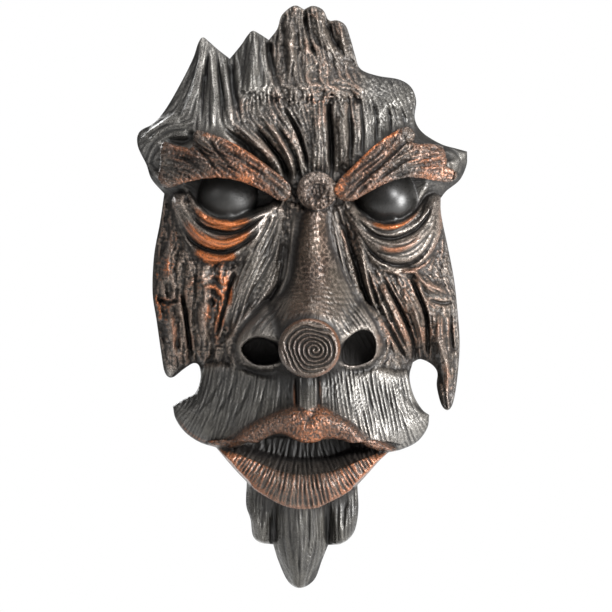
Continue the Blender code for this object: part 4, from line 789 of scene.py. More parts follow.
# dry-brushed copper: x, z, half width, strength
copperStrokes = [
    [(-76, -54, 2, 0.4), (-64, -65, 3.8, 0.8), (-54, -68.4, 4.6, 1), (-44, -68, 4.4, 0.9),
     (-33, -63, 2.6, 0.5)],
    [(-81, -62, 2.4, 0.4), (-71, -74.4, 4.2, 0.8), (-61, -80, 5.4, 1), (-51, -80.6, 5.4, 0.9),
     (-41, -76.6, 4.2, 0.7), (-33, -70, 2.4, 0.4)],
    [(-73, -84, 3, 0.6), (-63, -90.5, 4.8, 1), (-53, -91.6, 5, 0.9), (-43, -87, 3.4, 0.6)],
    [(40, -66, 1.4, 0.2), (49, -69, 2.4, 0.7), (58, -69.4, 2.6, 0.8), (67, -65.6, 2.4, 0.5),
     (75, -57, 1.6, 0.3)],
    [(46, -82, 2, 0.2), (56, -84.4, 3.4, 0.5), (66, -82, 3.4, 0.4), (76, -74, 2.6, 0.3)],
    [(60, -99, 2, 0.3), (72, -97, 2.4, 0.4), (82, -90, 2, 0.3)],
    [(22, -51, 3, 0.4), (24, -46, 3.6, 0.7), (27, -40, 2.6, 0.6), (38, -27, 1.4, 0.9), (52, -14.6, 1.4, 1),
     (66, -8.4, 2.2, 0.9)],
    [(80, -33, 1.6, 0.4), (90, -35, 2, 0.5), (97, -36.4, 1.6, 0.4)],
    [(64, -28, 1.2, 0.4), (78, -26, 1.4, 0.7), (88, -24, 1.4, 0.6)],
    [(-86, -122, 2.4, 0.3), (-84, -136, 3.4, 0.5), (-83, -152, 3, 0.4)],
    [(-62, -104, 2, 0.4), (-54, -102, 2.4, 0.8), (-49, -110, 2.4, 0.8), (-49, -124, 2, 0.6)],
    [(-60, -118, 2, 0.4), (-58, -134, 2.6, 0.5), (-56, -150, 2.4, 0.5)],
    [(-91, -40, 3, 0.3), (-78, -38, 3, 0.4), (-62, -35, 3, 0.4), (-46, -33, 3.2, 0.45), (-32, -38, 3, 0.45),
     (-20, -46, 2.4, 0.4)],
    [(-70, -11, 1.4, 0.5), (-58, -14, 1.8, 0.4), (-44, -20, 1.8, 0.4), (-30, -30, 1.6, 0.3)],
    [(-87, -21, 4, 0.4), (-80, -26, 4, 0.4)],
    [(-5.6, -167, 2, 0.5), (-5.8, -178, 2.2, 0.7), (-5.4, -188, 2.2, 0.7)],
    [(9, -167, 1.8, 0.6), (9.2, -178, 1.9, 0.7), (9, -188, 1.9, 0.7)],
    [(-84, -190, 1.4, 0.3), (-77, -202, 1.6, 0.6), (-66, -208, 1.6, 0.7), (-54, -207, 1.4, 0.6),
     (-42, -202, 1.2, 0.5), (-30, -195, 1.2, 0.5)],
]

# the creases round the nose's wings, cut into the form and darkened with painted shade: x, z, half width,
# strength
wingCreases = [
    [(-24, -116, 2, 0.6), (-32, -125, 2.2, 1), (-40, -134, 2.2, 1), (-45.4, -143, 2.2, 1),
     (-45.6, -151, 2.2, 1), (-41, -159, 2.2, 1), (-31, -164, 2.2, 0.8), (-18, -166, 2.2, 0.6)],
    [(32, -112, 1.6, 0.5), (42, -127, 1.8, 0.8), (49.4, -138, 2, 0.9), (51.4, -147, 2, 0.9),
     (48, -156, 2, 0.8), (38, -163, 2, 0.6), (24, -165, 2, 0.5)],
]

# regions with a drawn edge: how soft the edge is, and its points
softLoops = {
    "leftBag": (3, [(-80, -52), (-72, -62), (-52, -68), (-30, -62), (-20, -57), (-34, -78), (-46, -92),
        (-62, -94), (-78, -82), (-84, -62)]),
    "rightBag": (3, [(30, -58), (40, -68), (56, -69), (70, -60), (78, -48), (86, -54), (86, -76), (76, -92),
        (58, -99), (42, -94), (34, -74)]),
    "nose": (2, [(-8, -60), (20, -60), (26, -90), (34, -112), (47, -132), (48, -150), (38, -160),
        (-34, -160), (-46, -150), (-42, -134), (-22, -114), (-13, -92)]),
    "noseTop": (4, [(-6, -58), (18, -58), (20, -90), (26, -118), (20, -132), (-12, -132), (-10, -112),
        (-6, -84)]),
    "smoothCheek": (4, [(-20, -60), (-14, -62), (-14, -96), (-20, -112), (-36, -128), (-46, -138),
        (-52, -128), (-46, -104), (-40, -88), (-32, -74)]),
    "valley": (2.5, [(-20, -58), (-8, -60), (-9, -84), (-13, -104), (-22, -108), (-18, -84)]),
}

# skin of each region: its depth, the share of each pattern in it, and a level that sinks it all
skin = {
    "crown": {"depth": 2.1, "bark": 0.7, "fineBark": 0.45, "ragged": 0.5, "longFine": 0.15, "level": -1.4},
    "forehead": {"depth": 1.6, "bark": 0.7, "fineBark": 0.6, "ragged": 0.5, "longFine": 0.25, "level": -1.5},
    "shoulder": {"depth": 2.1, "ragged": 0.6, "fineBark": 0.4, "longFine": 0.15, "level": -0.8},
    "leftCheek": {"depth": 2.1, "bark": 0.8, "fineBark": 0.25, "ragged": 0.5, "pits": 0.1, "level": -1.2},
    "rightCheek": {"depth": 2.1, "bark": 0.7, "fineBark": 0.5, "ragged": 0.4, "longFine": 0.2, "level": -1.4},
    "spikes": {"depth": 0.75, "fineBark": 0.8, "longMid": 0.6, "longFine": 0.5, "level": -0.7},
    "hoods": {"depth": 0.75, "longMid": 0.5, "longFine": 0.4},
    "brows": {"depth": 2.1, "fineBark": 0.4, "longFine": 0.35, "ragged": 0.25, "pits": 0.15, "level": -0.6},
    "bagArea": {"depth": 0.75, "longMid": 0.5, "longFine": 0.55},
    "smoothCheek": {"depth": 0.75, "longMid": 0.4, "combFine": 0.6},
    "noseSides": {"depth": 0.75, "longMid": 0.2, "noseComb": 1},
    "noseBridge": {"depth": 0.6, "wormLines": 1.6, "level": -0.7},
    "noseTip": {"depth": 1, "arcs": 0.12, "worm": 0.08},
    "combedFan": {"depth": 0.75, "longMid": 0.2, "longFine": 0.25, "combFine": 0.75},
    "upperLip": {"depth": 0.7, "pits": 0.4, "ragged": 0.6, "level": -0.6},
    "lowerLip": {"depth": 0.75, "longFine": 0.9, "longMid": 0.3, "level": -0.5},
    "beard": {"depth": 0.75, "fineBark": 0.2, "longMid": 0.4, "combFine": 0.6, "level": -0.3},
    "mouth": {"depth": 1, "upright": 0.5, "longFine": 0.35},
    "knot": {"depth": 1, "pits": 0.5, "ragged": 0.5},
}
flakeDepth = {"leftCheek": 1.9, "rightCheek": 1.2, "crown": 1.5, "forehead": 0.8, "shoulder": 0.6,
              "brows": 0.6, "knot": 0.4}

# the finish by region: how warm its black is, how open its pores are, and how little it is rubbed
warmth = {"crown": 0.55, "forehead": 0.45, "leftCheek": 0.75, "rightCheek": 0.75, "nose": 0.3, "noseTop": 0.5,
          "brows": 0.8, "bagArea": 0.45, "upperLip": 0.8, "lowerLip": 0.6, "smoothCheek": 0.35, "knob": 0.5,
          "knot": 0.4}
pores = {"upperLip": 1, "brows": 0.8, "knot": 0.7, "lowerLip": 0.35, "leftCheek": 0.25, "rightCheek": 0.25,
         "crown": 0.15, "forehead": 0.15}
unrubbed = {"leftBrow": 0.8, "rightBrow": 0.6, "upperLip": 0.9, "knob": 0.85, "lowerLip": 0.5}

# regions with straight soft sides, each side from one place to another
softBoxes = {
    "spikes": {"right": (-24, -18), "foot": (-8, 0)},
    "spikeGap": {"left": (-47, -40), "top": (8, 14)},
    "crown": {"left": (-26, -18), "right": (34, 40), "foot": (8, 14)},
    "ledgeSpan": {"left": (-46, -38), "right": (34, 42), "top": (16, 46)},
    "shoulder": {"left": (34, 42), "foot": (-10, 0)},
    "forehead": {"left": (-52, -42), "right": (30, 40), "foot": (-60, -50), "top": (10, 16)},
    "leftHood": {"right": (-72, -64), "foot": (-46, -42), "top": (-6, 2)},
    "rightHood": {"left": (74, 84), "foot": (-48, -42)},
    "cheeks": {"foot": (-165, -158), "top": (-52, -46)},
    "noseBridge": {"foot": (-118, -96)},
    "noseTip": {"top": (-112, -102)},
    "noseSides": {"foot": (-158, -140)},
    "gutter": {"foot": (-187, -184), "top": (-166, -158)},
    "beard": {"top": (-240, -232)},
}


def softBox(x, z, name):
    mask = np.ones(x.shape)
    for side, (low, high) in softBoxes[name].items():
        rise = ease(low, high, x if side in ("left", "right") else z)
        mask *= rise if side in ("left", "foot") else 1 - rise
    return mask


def weighed(region, weights):
    return sum(weight * region[name] for name, weight in weights.items())


def highest(*parts):
    return np.maximum.reduce(parts)


def plates(noise, width):
    # 0 in a crack, 1 on the plates beside it
    return 1 - np.exp(-(noise / width) ** 2)


def mouthRegions(region, x, z):
    region["upperLip"] = 1 - ease(0.85, 1.1, alongLine(x, z, upperLip)[0])
    below = ease(-2, 3, lineAt(innerLip, x) - z)
    region["lowerLip"] = within(x, z, smoothLoop(lowerLipEdge), 1.2) * below * (1 - region["upperLip"])
    region["mouth"] = within(x, z, smoothLoop(mouth), 1.5) * (1 - below)
    lips = (1 - region["upperLip"]) * (1 - region["mouth"]) * (1 - region["lowerLip"])
    region["philtrum"] = 1 - ease(0.9, 1.1, alongLine(x, z, philtrum)[0])
    region["moustache"] = ease(-1, 4, lineAt(fanTop, x) - z) * (z > moustacheFoot) * lips
    region["moustache"] *= (1 - region["knob"]) * (1 - 0.6 * region["philtrum"])
    region["combedFan"] = region["moustache"] * (0.65 + 0.6 * ease(-6, 14, x))
    region["beard"] = softBox(x, z, "beard") * (1 - region["lowerLip"])


def faceRegions(x, z):
    region = {name: within(x, z, loop, soft) for name, (soft, loop) in softLoops.items()}
    region["leftBrow"] = within(x, z, leftBrow, 1.2)
    region["rightBrow"] = within(x, z, rightBrow, 1.2)
    region["brows"] = highest(region["leftBrow"], region["rightBrow"])
    sockets = highest(within(x, z, leftSocket, 1.5), within(x, z, rightSocket, 1.5))
    region["sockets"] = sockets * (1 - region["brows"])
    region["bagArea"] = highest(region["leftBag"], region["rightBag"])
    region["knob"] = (ovalShare(x, z, knob) < 1.03) * 1.0
    region["knot"] = (ovalShare(x, z, knot) < 1.08) * 1.0
    for name in ("nose", "noseTop"):
        region[name] *= 1 - region["knob"]
    region["plainNose"] = region["nose"] * (1 - region["noseTop"])
    region["noseSides"] = region["plainNose"] * softBox(x, z, "noseSides")
    for name in ("noseBridge", "noseTip"):
        region[name] = region["noseTop"] * softBox(x, z, name)
    holes = [within(x, z, smoothLoop(loop), 3) for loop in nostrils]
    region["nostrils"] = highest(*holes) * (1 - region["knob"])
    mouthRegions(region, x, z)
    region["spikes"] = softBox(x, z, "spikes") * (1 - softBox(x, z, "spikeGap"))
    region["crown"] = softBox(x, z, "crown")
    region["shoulder"] = softBox(x, z, "shoulder")
    region["forehead"] = softBox(x, z, "forehead") * (1 - region["brows"]) * (1 - region["knot"])
    region["hoods"] = highest(softBox(x, z, "leftHood"), softBox(x, z, "rightHood")) * (1 - region["brows"])
    cheeks = softBox(x, z, "cheeks")
    for name in ("nose", "knob", "smoothCheek", "bagArea", "sockets", "brows"):
        cheeks *= 1 - region[name]
    strip = (x > stripLeft) * (z < stripTop) * (z > stripFoot) * 1.0
    cheeks = highest(cheeks, strip) * (1 - region["moustache"])
    region["leftCheek"] = cheeks * (x < 0)
    region["rightCheek"] = cheeks * (x > 0)
    return region


def ringedEnd(x, z, end, heart, pitch, height, wander):
    # growth rings of a sawn branch, wound as one spiral round its heart
    cx, cz, wide, high = end[:4]
    dx, dz = x - cx - heart[0], (z - cz - heart[1]) * wide / high
    radius = np.hypot(dx, dz) + wander
    turn = np.arctan2(dz, dx) / (2 * np.pi)
    ring = np.cos(2 * np.pi * (radius / pitch - turn))
    mask = ovalShare(x, z, end) < 0.88
    return mask * height * (0.5 * (ring - 1) - 0.9 * np.exp(-((ring + 1) / 0.7) ** 2))


def skinLayers(x, z, flow):
    # the patterns that the skin is mixed from, combed along the grain or across it
    across = (-flow[1], flow[0])
    layer = {"level": 1.0}
    for name, wave, way, reach in (("longWide", 7.0, flow, 20), ("longMid", 4.0, flow, 14),
                                   ("longFine", 2.6, flow, 10), ("crossWide", 7.5, across, 7),
                                   ("crossFine", 4.0, across, 4)):
        layer[name] = combed(noiseField(wave), way, reach)
    layer["worm"] = noiseField(4.4, 0.45)
    layer["pits"] = noiseField(2.6, 0.4)
    patch = blur(chance.standard_normal(fieldSize), 5)
    layer["patch"] = patch / patch.std()
    layer["combFine"] = combed(noiseField(2.3), flow, 18)
    bigFlakes = ease(-0.2, 0.2, combed(noiseField(11.0), flow, 8))
    layer["flakes"] = bigFlakes + 0.6 * ease(-0.2, 0.2, combed(noiseField(6.0), flow, 4)) - 0.8
    layer["wormLines"] = np.exp(-(noiseField(5.2, 0.4) / 0.5) ** 2)
    layer["bark"] = plates(layer["longWide"], 0.65) * (0.45 + 0.55 * plates(layer["crossWide"], 0.5))
    layer["fineBark"] = plates(layer["longMid"], 0.6) * (0.4 + 0.6 * plates(layer["crossFine"], 0.5))
    layer["ragged"] = plates(layer["worm"], 0.55)
    layer["noseComb"] = (0.4 + 0.5 * ease(12, 24, x)) * layer["combFine"]
    aroundTip = np.hypot(x - noseTip[0], z - noseTip[1])
    layer["arcs"] = np.cos(2 * np.pi * (aroundTip + 0.5 * layer["patch"]) / 2.6)
    layer["upright"] = np.cos(2 * np.pi * (x + 1.5 * layer["patch"]) / 4.2)
    return layer


def skinRelief(x, z, edge, region, layer):
    relief = weighed(region, flakeDepth) * layer["flakes"]
    for name, parts in skin.items():
        mix = sum(share * layer[part] for part, share in parts.items() if part != "depth")
        relief += region[name] * parts["depth"] * mix
    brink = 12.5 + 2.2 * layer["patch"] + 1.2 * layer["pits"] + 0.05 * np.abs(x)
    relief += casting["ledge"] * ease(-0.8, 0.8, z - brink) * softBox(x, z, "ledgeSpan")
    wander = 1.1 * layer["patch"] + 0.1 * layer["worm"]
    relief += ringedEnd(x, z, knob, knobHeart, casting["knobRings"], 1.1, wander)
    relief += ringedEnd(x, z, knot, (0, 0), casting["knotRings"], 0.6, 0.8 * layer["patch"])
    relief -= region["knob"] * casting["knobDish"] * (1 - ease(0.1, 0.85, ovalShare(x, z, knob)))
    return relief * ease(-0.5, 3, edge) * (1 - 0.9 * region["sockets"]) * (1 - 0.8 * region["nostrils"])


def softenForm(x, z, edge, base, region):
    # eases the hard lines of the form, fills the gutters beside the philtrum and cuts the wings' creases
    calm = highest(region["valley"], 0.6 * region["moustache"] + 0.7 * region["beard"] * ease(0, 6, edge))
    base = base + calm * (blur(base, 2.6) - base)
    share, _, _ = alongLine(x, z, philtrum)
    gutter = np.exp(-((share - 1.2) / 0.3) ** 2) * softBox(x, z, "gutter") * (1 - region["knob"])
    crease = np.zeros(fieldSize)
    for points in wingCreases:
        away, strength, end = alongLine(x, z, points)
        crease = highest(crease, strength * np.exp(-away ** 2) * ease(-0.05, 0.15, end))
    crease *= (1 - region["knob"]) * (1 - region["nostrils"])
    return base + casting["gutter"] * gutter * (share > 0.85) - casting["wingCrease"] * crease, gutter, crease


def copperPaint(x, z, region, raised, spot, patch):
    # dry-brushed copper, 0 to 1
    rim = highest(*(np.exp(-((insideLoop(x, z, loop) - 1.2) / 1.8) ** 2) for loop in (leftBrow, rightBrow)))
    # painted shade: the right brow's copper is a quarter weaker to offset the stronger light on that side
    brows = np.clip(0.23 + 0.12 * raised + 0.08 * rim + 0.12 * patch, 0, 1) * (1 - 0.25 * (x > 0))
    copper = region["brows"] * brows
    for points in copperStrokes:
        share, strength, end = alongLine(x, z, points)
        stroke = strength * (1 - ease(0.3, 1.25, share)) * ease(-0.02, 0.15, end)
        copper = highest(copper, stroke * (0.5 + 0.5 * raised))
    lipPeak = (0.12 + 0.14 * raised) * np.exp(-((x - 4) / 12) ** 2)
    sides = ease(10, 34, np.abs(x + 3))
    band = ease(1.5, -3, z - lineAt(lipCrest, x))
    leftSide = ease(-30, -55, x) * (0.4 + 0.6 * ease(-60, -95, z))
    cheeks = np.where(x < 0, leftSide, 0.5) * (0.2 + 0.5 * spot) * (1 - 0.6 * (x < 0) * ease(-132, -146, z))
    # copper on the knob's rim, stronger toward its upper right where the key light falls: partly copper
    # paint, partly a painted warm highlight
    knobRimAndHighlight = np.exp(-((ovalShare(x, z, knob) - 0.94) / 0.05) ** 2) * ease(-18, 12, x + 0.5 * (z - knob[1]))
    return highest(copper,
                   region["upperLip"] * (0.24 + 0.08 * raised + lipPeak),
                   region["lowerLip"] * (0.38 + 0.14 * sides) * (0.25 + 0.75 * raised) * band,
                   (region["leftCheek"] + region["rightCheek"]) * raised * cheeks,
                   region["knob"] * (0.08 + 0.06 * raised + 0.22 * knobRimAndHighlight),
                   region["knot"] * 0.2,
                   region["noseTop"] * (0.1 + 0.12 * raised) * ease(22, 10, x),
                   (region["crown"] + region["forehead"]) * raised * 0.3 * spot)


def rubbedMetalAndSheen(x, region, raised, spot, copper, eye):
    # where the coat is rubbed to bare pewter, 0 to 1; also painted sheen on the spikes, hoods and shoulder,
    # and a painted highlight on the right half of the moustache, with the left half kept darker
    rubAndSheen = highest(raised * (0.45 + 0.55 * spot) * (1 - 0.5 * copper),
                  # painted sheen: a flat lightening of the spikes, hoods and shoulder, more on the left
                  # spikes
                  0.22 * (region["spikes"] + region["hoods"] + region["shoulder"]),
                  0.6 * region["spikes"] * ease(-46, -56, x),
                  # painted highlight: the right half of the moustache made bright where the right-hand light
                  # glares
                  region["moustache"] * ease(10, 30, x) * (0.35 + 0.4 * raised),
                  region["leftCheek"] * (0.12 + 0.85 * raised),
                  0.16 * (region["crown"] + region["shoulder"]))
    rubAndSheen *= (1 - weighed(region, unrubbed)) * (1 - 0.7 * region["philtrum"])
    rubAndSheen *= 1 - 0.8 * region["beard"] - 0.5 * region["plainNose"] * ease(24, 10, x)
    return rubAndSheen * (1 - 0.6 * region["moustache"] * ease(4, -8, x)) * (1 - eye)


def faceFields():
    x, z = fieldGrid()
    edge = insideLoop(x, z, silhouette())
    base = faceDepth(x, z, np.clip(edge, 0, None))
    print("main form done")
    region = faceRegions(x, z)
    base, gutter, crease = softenForm(x, z, edge, base, region)
    flow = flowField(allGuides())
    layer = skinLayers(x, z, flow)
    eye = np.zeros(fieldSize)
    for cx, cz, radius, front in eyes:
        ball = (np.hypot(x - cx, z - cz) < radius * 0.98) * (base < front + 0.5)
        eye = highest(eye, ball * (region["sockets"] > 0.5))
    depth = base + skinRelief(x, z, edge, region, layer) * (1 - 0.97 * eye)
    high = depth - blur(depth, 1.5)
    broad = depth - blur(depth, 6.0)
    raised = ease(-0.05, 0.6, high)
    spot = ease(-0.7, 1.0, layer["patch"])
    innerSlope = region["lowerLip"] * ease(-2, 2.5, z - lineAt(lipCrest, x))
    # painted shade: darker in fine grooves (partly a real dark wash there), in broad hollows, in the wings'
    # creases, the nostrils and the mouth, and on the lower lip's inner slope; lighter in the filled gutters
    washAndShade = np.clip(-high / 0.7, 0, 1) * (1 + 0.8 * region["knob"]) + np.clip(-broad / 6, 0, 1) * 0.5
    washAndShade = washAndShade * (1 - 0.8 * np.clip(gutter, 0, 1)) + 0.5 * crease
    washAndShade = np.clip(washAndShade + 0.8 * region["nostrils"] + region["mouth"] + 0.6 * innerSlope, 0, 1) * (1 - eye)
    copper = copperPaint(x, z, region, raised, spot, layer["patch"])
    dull = 0.55 * region["moustache"] * ease(4, -8, x) + 0.6 * region["plainNose"]
    turn = 2 * np.arctan2(flow[1], flow[0])
    return {"x": x, "z": z, "edge": edge, "depth": depth, "baseDepth": base, "copper": copper,
            "washAndShade": washAndShade, "eye": eye, "pore": weighed(region, pores),
            "rubAndSheen": rubbedMetalAndSheen(x, region, raised, spot, copper, eye),
            "warm": blur(np.clip(0.12 + weighed(region, warmth), 0, 1), 4.0) * (1 - eye),
            "dull": highest(dull, eye * (0.25 + 0.75 * (x < 0)), 0.4 * region["upperLip"]),
            "flowC": np.cos(turn), "flowS": np.sin(turn)}


finishFields = ("copper", "washAndShade", "rubAndSheen", "eye", "warm", "pore", "dull", "flowC", "flowS")
rowGap = 0.866  # of the step, so the points stand in even triangles


def evenLoop(loop, step):
    # the outline in even steps between its corners
    corners = sorted(int(np.argmin(np.hypot(*(loop - np.array(c)).T))) for c in outlineCorners)
    out = []
    for first, last in zip(corners, corners[1:] + [corners[0] + len(loop)]):
        run = np.array([loop[i % len(loop)] for i in range(first, last + 1)])
        length = np.concatenate([[0], np.cumsum(np.hypot(*np.diff(run, axis=0).T))])
        for s in np.linspace(0, length[-1], max(2, int(round(length[-1] / step))), endpoint=False):
            out.append((np.interp(s, length, run[:, 0]), np.interp(s, length, run[:, 1])))
    return np.array(out)


def spreadPoints(edge, rim, step, margin):
    # staggered rows of points inside the outline
    low, high = rim.min(0), rim.max(0)
    rows = np.arange(low[1], high[1], step * rowGap)
    cols = np.arange(low[0], high[0], step)
    x, z = np.meshgrid(cols, rows)
    x = x + 0.5 * step * (np.arange(len(rows)) % 2)[:, None]
    x, z = x.ravel(), z.ravel()
    keep = readField(edge, x, z) > margin * step
    return np.stack([x[keep], z[keep]], 1)


def sheetOver(rim, places):
    # triangles over the outline through the given places
    count = len(rim)
    flat = [Vector(p) for p in np.vstack([rim, places])]
    rimEdges = [(i, (i + 1) % count) for i in range(count)]
    points, _, faces, _, _, _ = delaunay_2d_cdt(flat, rimEdges, [], 1, 1e-6)
    return np.array([tuple(p) for p in points]), faces


def backField(fields):
    # the hollow back: one wall's thickness behind the front
    front = np.where(fields["edge"] > 0, fields["baseDepth"], 0)
    wall = casting["shellWall"]
    skip = 3  # coarser than the front is enough here
    coarse = front[::skip, ::skip]
    step = skip * fieldStep
    reach = int(wall / step)
    back = coarse - wall
    for i in range(-reach, reach + 1):
        for j in range(-reach, reach + 1):
            room = wall ** 2 - (i * step) ** 2 - (j * step) ** 2
            if room >= 0:
                back = np.minimum(back, np.roll(coarse, (i, j), (0, 1)) - np.sqrt(room))
    back = np.repeat(np.repeat(np.clip(back, 0, casting["hollowDepth"]), skip, 0), skip, 1)
    back = back[:fieldSize[0], :fieldSize[1]]
    back = np.minimum(back, blur(back, 3.2))
    aside = np.abs(fields["x"]) - casting["padWidth"] / 2
    above = np.abs(fields["z"]) - casting["padHeight"] / 2
    back = back * ease(0, casting["padDraft"], highest(aside, above))
    return np.where(back < 0.4, 0, back)


def undercuts(fields):
    # moves the top of each steep side out over its foot
    x, z = fields["x"], fields["z"]
    amount = casting["undercut"]
    moveX = np.zeros(fieldSize)
    moveZ = np.zeros(fieldSize)
    awayFromKnob = ease(1.05, 1.35, ovalShare(x, z, knob))
    for loop, sense, name in ((leftBrow, 1, "brow"), (rightBrow, 1, "brow"), (smoothLoop(mouth), -1, "mouth"),
                              (smoothLoop(lowerLipEdge), 1, "lowerLip"),
                              (smoothLoop(nostrils[0]), -1, "leftNostril"),
                              (smoothLoop(nostrils[1]), -1, "rightNostril")):
        gap = insideLoop(x, z, loop)
        gz, gx = np.gradient(gap, fieldStep)
        size = np.hypot(gx, gz) + 1e-6
        push = -sense * amount[name] * (2 * ease(-1.5, 1.5, gap * sense) - 1) * np.exp(-(gap / 4.0) ** 2)
        push *= awayFromKnob
        moveX += push * gx / size
        moveZ += push * gz / size
    for end, name in ((knob, "knob"), (knot, "knot")):
        cx, cz, wide, high, _ = end
        dx, dz = x - cx, (z - cz) * wide / high
        radius = np.hypot(dx, dz) + 1e-6
        gap = wide * 1.02 - radius
        push = amount[name] * (2 * ease(-1.2, 1.2, gap) - 1) * np.exp(-(gap / 3.5) ** 2)
        moveX += push * dx / radius
        moveZ += push * dz / radius
    calm = ease(1, 6, fields["edge"])
    return moveX * calm, moveZ * calm


def frontSheet(fields, rim):
    # points and triangles of the front, closer together on the sawn end
    places = []
    for step, inside in ((casting["frontStep"], False), (casting["knobStep"], True)):
        spread = spreadPoints(fields["edge"], rim, step, 0.5)
        onKnob = ovalShare(spread[:, 0], spread[:, 1], knob) < 1.06
        places.append(spread[onKnob == inside])
    points, faces = sheetOver(rim, np.vstack(places))
    x, z = points.T
    depth = readField(fields["depth"], x, z)
    rimDepth = blur(np.where(fields["edge"] > 0, fields["depth"], casting["edgeDepth"]), 0.6)
    count = len(rim)
    depth[:count] = readField(rimDepth, x[:count], z[:count])
    moveX, moveZ = undercuts(fields)
    verts = np.stack([x + readField(moveX, x, z), -depth, z + readField(moveZ, x, z)], 1)
    return verts, faces, x, z


def backSheet(fields, rim):
    points, faces = sheetOver(rim, spreadPoints(fields["edge"], rim, casting["backStep"], 0.6))
    x, z = points.T
    back = readField(backField(fields), x, z)
    back[:len(rim)] = 0
    return np.stack([x, -back, z], 1), faces


def buildCasting(fields):
    rim = evenLoop(silhouette(), casting["rimStep"])
    front, faces, x, z = frontSheet(fields, rim)
    back, backFaces = backSheet(fields, rim)
    behind = len(front)
    polys = [tuple(f) for f in faces]
    polys += [tuple(i + behind for i in reversed(f)) for f in backFaces]
    for i in range(len(rim)):
        k = (i + 1) % len(rim)
        polys.append((k, i, i + behind, k + behind))
    verts = np.clip(np.concatenate([front, back]) * mm, *cadBounds)
    mesh = bpy.data.meshes.new("treeFaceCasting")
    mesh.from_pydata([tuple(v) for v in verts], [], polys)
    outward = bmesh.new()
    outward.from_mesh(mesh)
    bmesh.ops.recalc_face_normals(outward, faces=outward.faces[:])
    outward.to_mesh(mesh)
    outward.free()
    zeros = np.zeros(len(back))
    for name in finishFields:
        values = np.concatenate([readField(fields[name], x, z), zeros]).astype(np.float32)
        mesh.attributes.new(name, "FLOAT", "POINT").data.foreach_set("value", values)
    mesh.shade_smooth()
    obj = bpy.data.objects.new("treeFaceCasting", mesh)
    bpy.context.scene.collection.objects.link(obj)
    return obj


class Nodes:
    # short way to add shader nodes and wire them
    def __init__(self, tree):
        self.tree = tree

    def plug(self, socket, value):
        if isinstance(value, bpy.types.NodeSocket):
            self.tree.links.new(value, socket)
        else:
            socket.default_value = value

    def add(self, kind, inputs=None, **settings):
        node = self.tree.nodes.new(kind)
        for name, value in settings.items():
            setattr(node, name, value)
        for name, value in (inputs or {}).items():
            self.plug(node.inputs[name], value)
        return node

    def math(self, operation, a, b=0.0, clamp=False):
        return self.add("ShaderNodeMath", {0: a, 1: b}, operation=operation, use_clamp=clamp).outputs[0]

    def noise(self, scale, detail, rough, place=None):
        inputs = {"Scale": scale, "Detail": detail, "Roughness": rough}
        if place is not None:
            inputs["Vector"] = place
        return self.add("ShaderNodeTexNoise", inputs).outputs[0]

    def ramp(self, value, low, high, out=(0.0, 1.0)):
        return self.add("ShaderNodeMapRange", {0: value, 1: low, 2: high, 3: out[0], 4: out[1]}).outputs[0]

    def mix(self, share, a, b):
        return self.add("ShaderNodeMix", {0: share, 6: a, 7: b}, data_type="RGBA").outputs[2]

    def bump(self, strength, distance, height, normal=None, invert=False):
        inputs = {"Strength": strength, "Distance": distance, "Height": height}
        if normal is not None:
            inputs["Normal"] = normal
        return self.add("ShaderNodeBump", inputs, invert=invert).outputs[0]

    def value(self, name):
        return self.add("ShaderNodeAttribute", attribute_name=name).outputs["Fac"]


finish = {
    "coolBlack": (0.0095, 0.0092, 0.0088, 1),
    "brownBlack": (0.012, 0.0088, 0.0072, 1),
    "graphite": (0.040, 0.038, 0.033, 1),
    "umber": (0.042, 0.034, 0.026, 1),
    "pewter": (0.25, 0.243, 0.228, 1),
    "rosePewter": (0.265, 0.205, 0.165, 1),
    "copper": (0.285, 0.085, 0.024, 1),
    "rust": (0.082, 0.034, 0.015, 1),
    "metallic": 0.45,
    "roughness": (0.18, 0.38),
    "cavityRoughness": 0.25,
    "dullRoughness": 0.2,
    "cloudScale": 45.0,
    "speckScale": 1100.0,
    "poreScale": 620.0,
    "grainSize": (0.0013, 0.004, 0.012),
    "poreBump": (0.7, 0.0008),  # strength and depth in metres
    "speckBump": (0.35, 0.0006),
    "grainBump": (0.6, 0.001),
}


def grainHeight(n, place, directions=6):
    # fine grain that runs with the bark: one stretched noise for each of some directions
    flowC, flowS = n.value("flowC"), n.value("flowS")
    total = 0.0
    for number in range(directions):
        angle = np.pi * number / directions
        alongC = n.math("MULTIPLY", flowC, np.cos(2 * angle))
        alongS = n.math("MULTIPLY", flowS, np.sin(2 * angle))
        share = n.ramp(n.math("ADD", alongC, alongS), 0.5, 1.0)
        inputs = {"Vector": place, "Rotation": (0, np.pi / 2 - angle, 0), "Scale": finish["grainSize"]}
        turned = n.add("ShaderNodeMapping", inputs, vector_type="TEXTURE").outputs[0]
        total = n.math("ADD", total, n.math("MULTIPLY", share, n.noise(1.0, 1.0, 0.5, turned)))
    return total


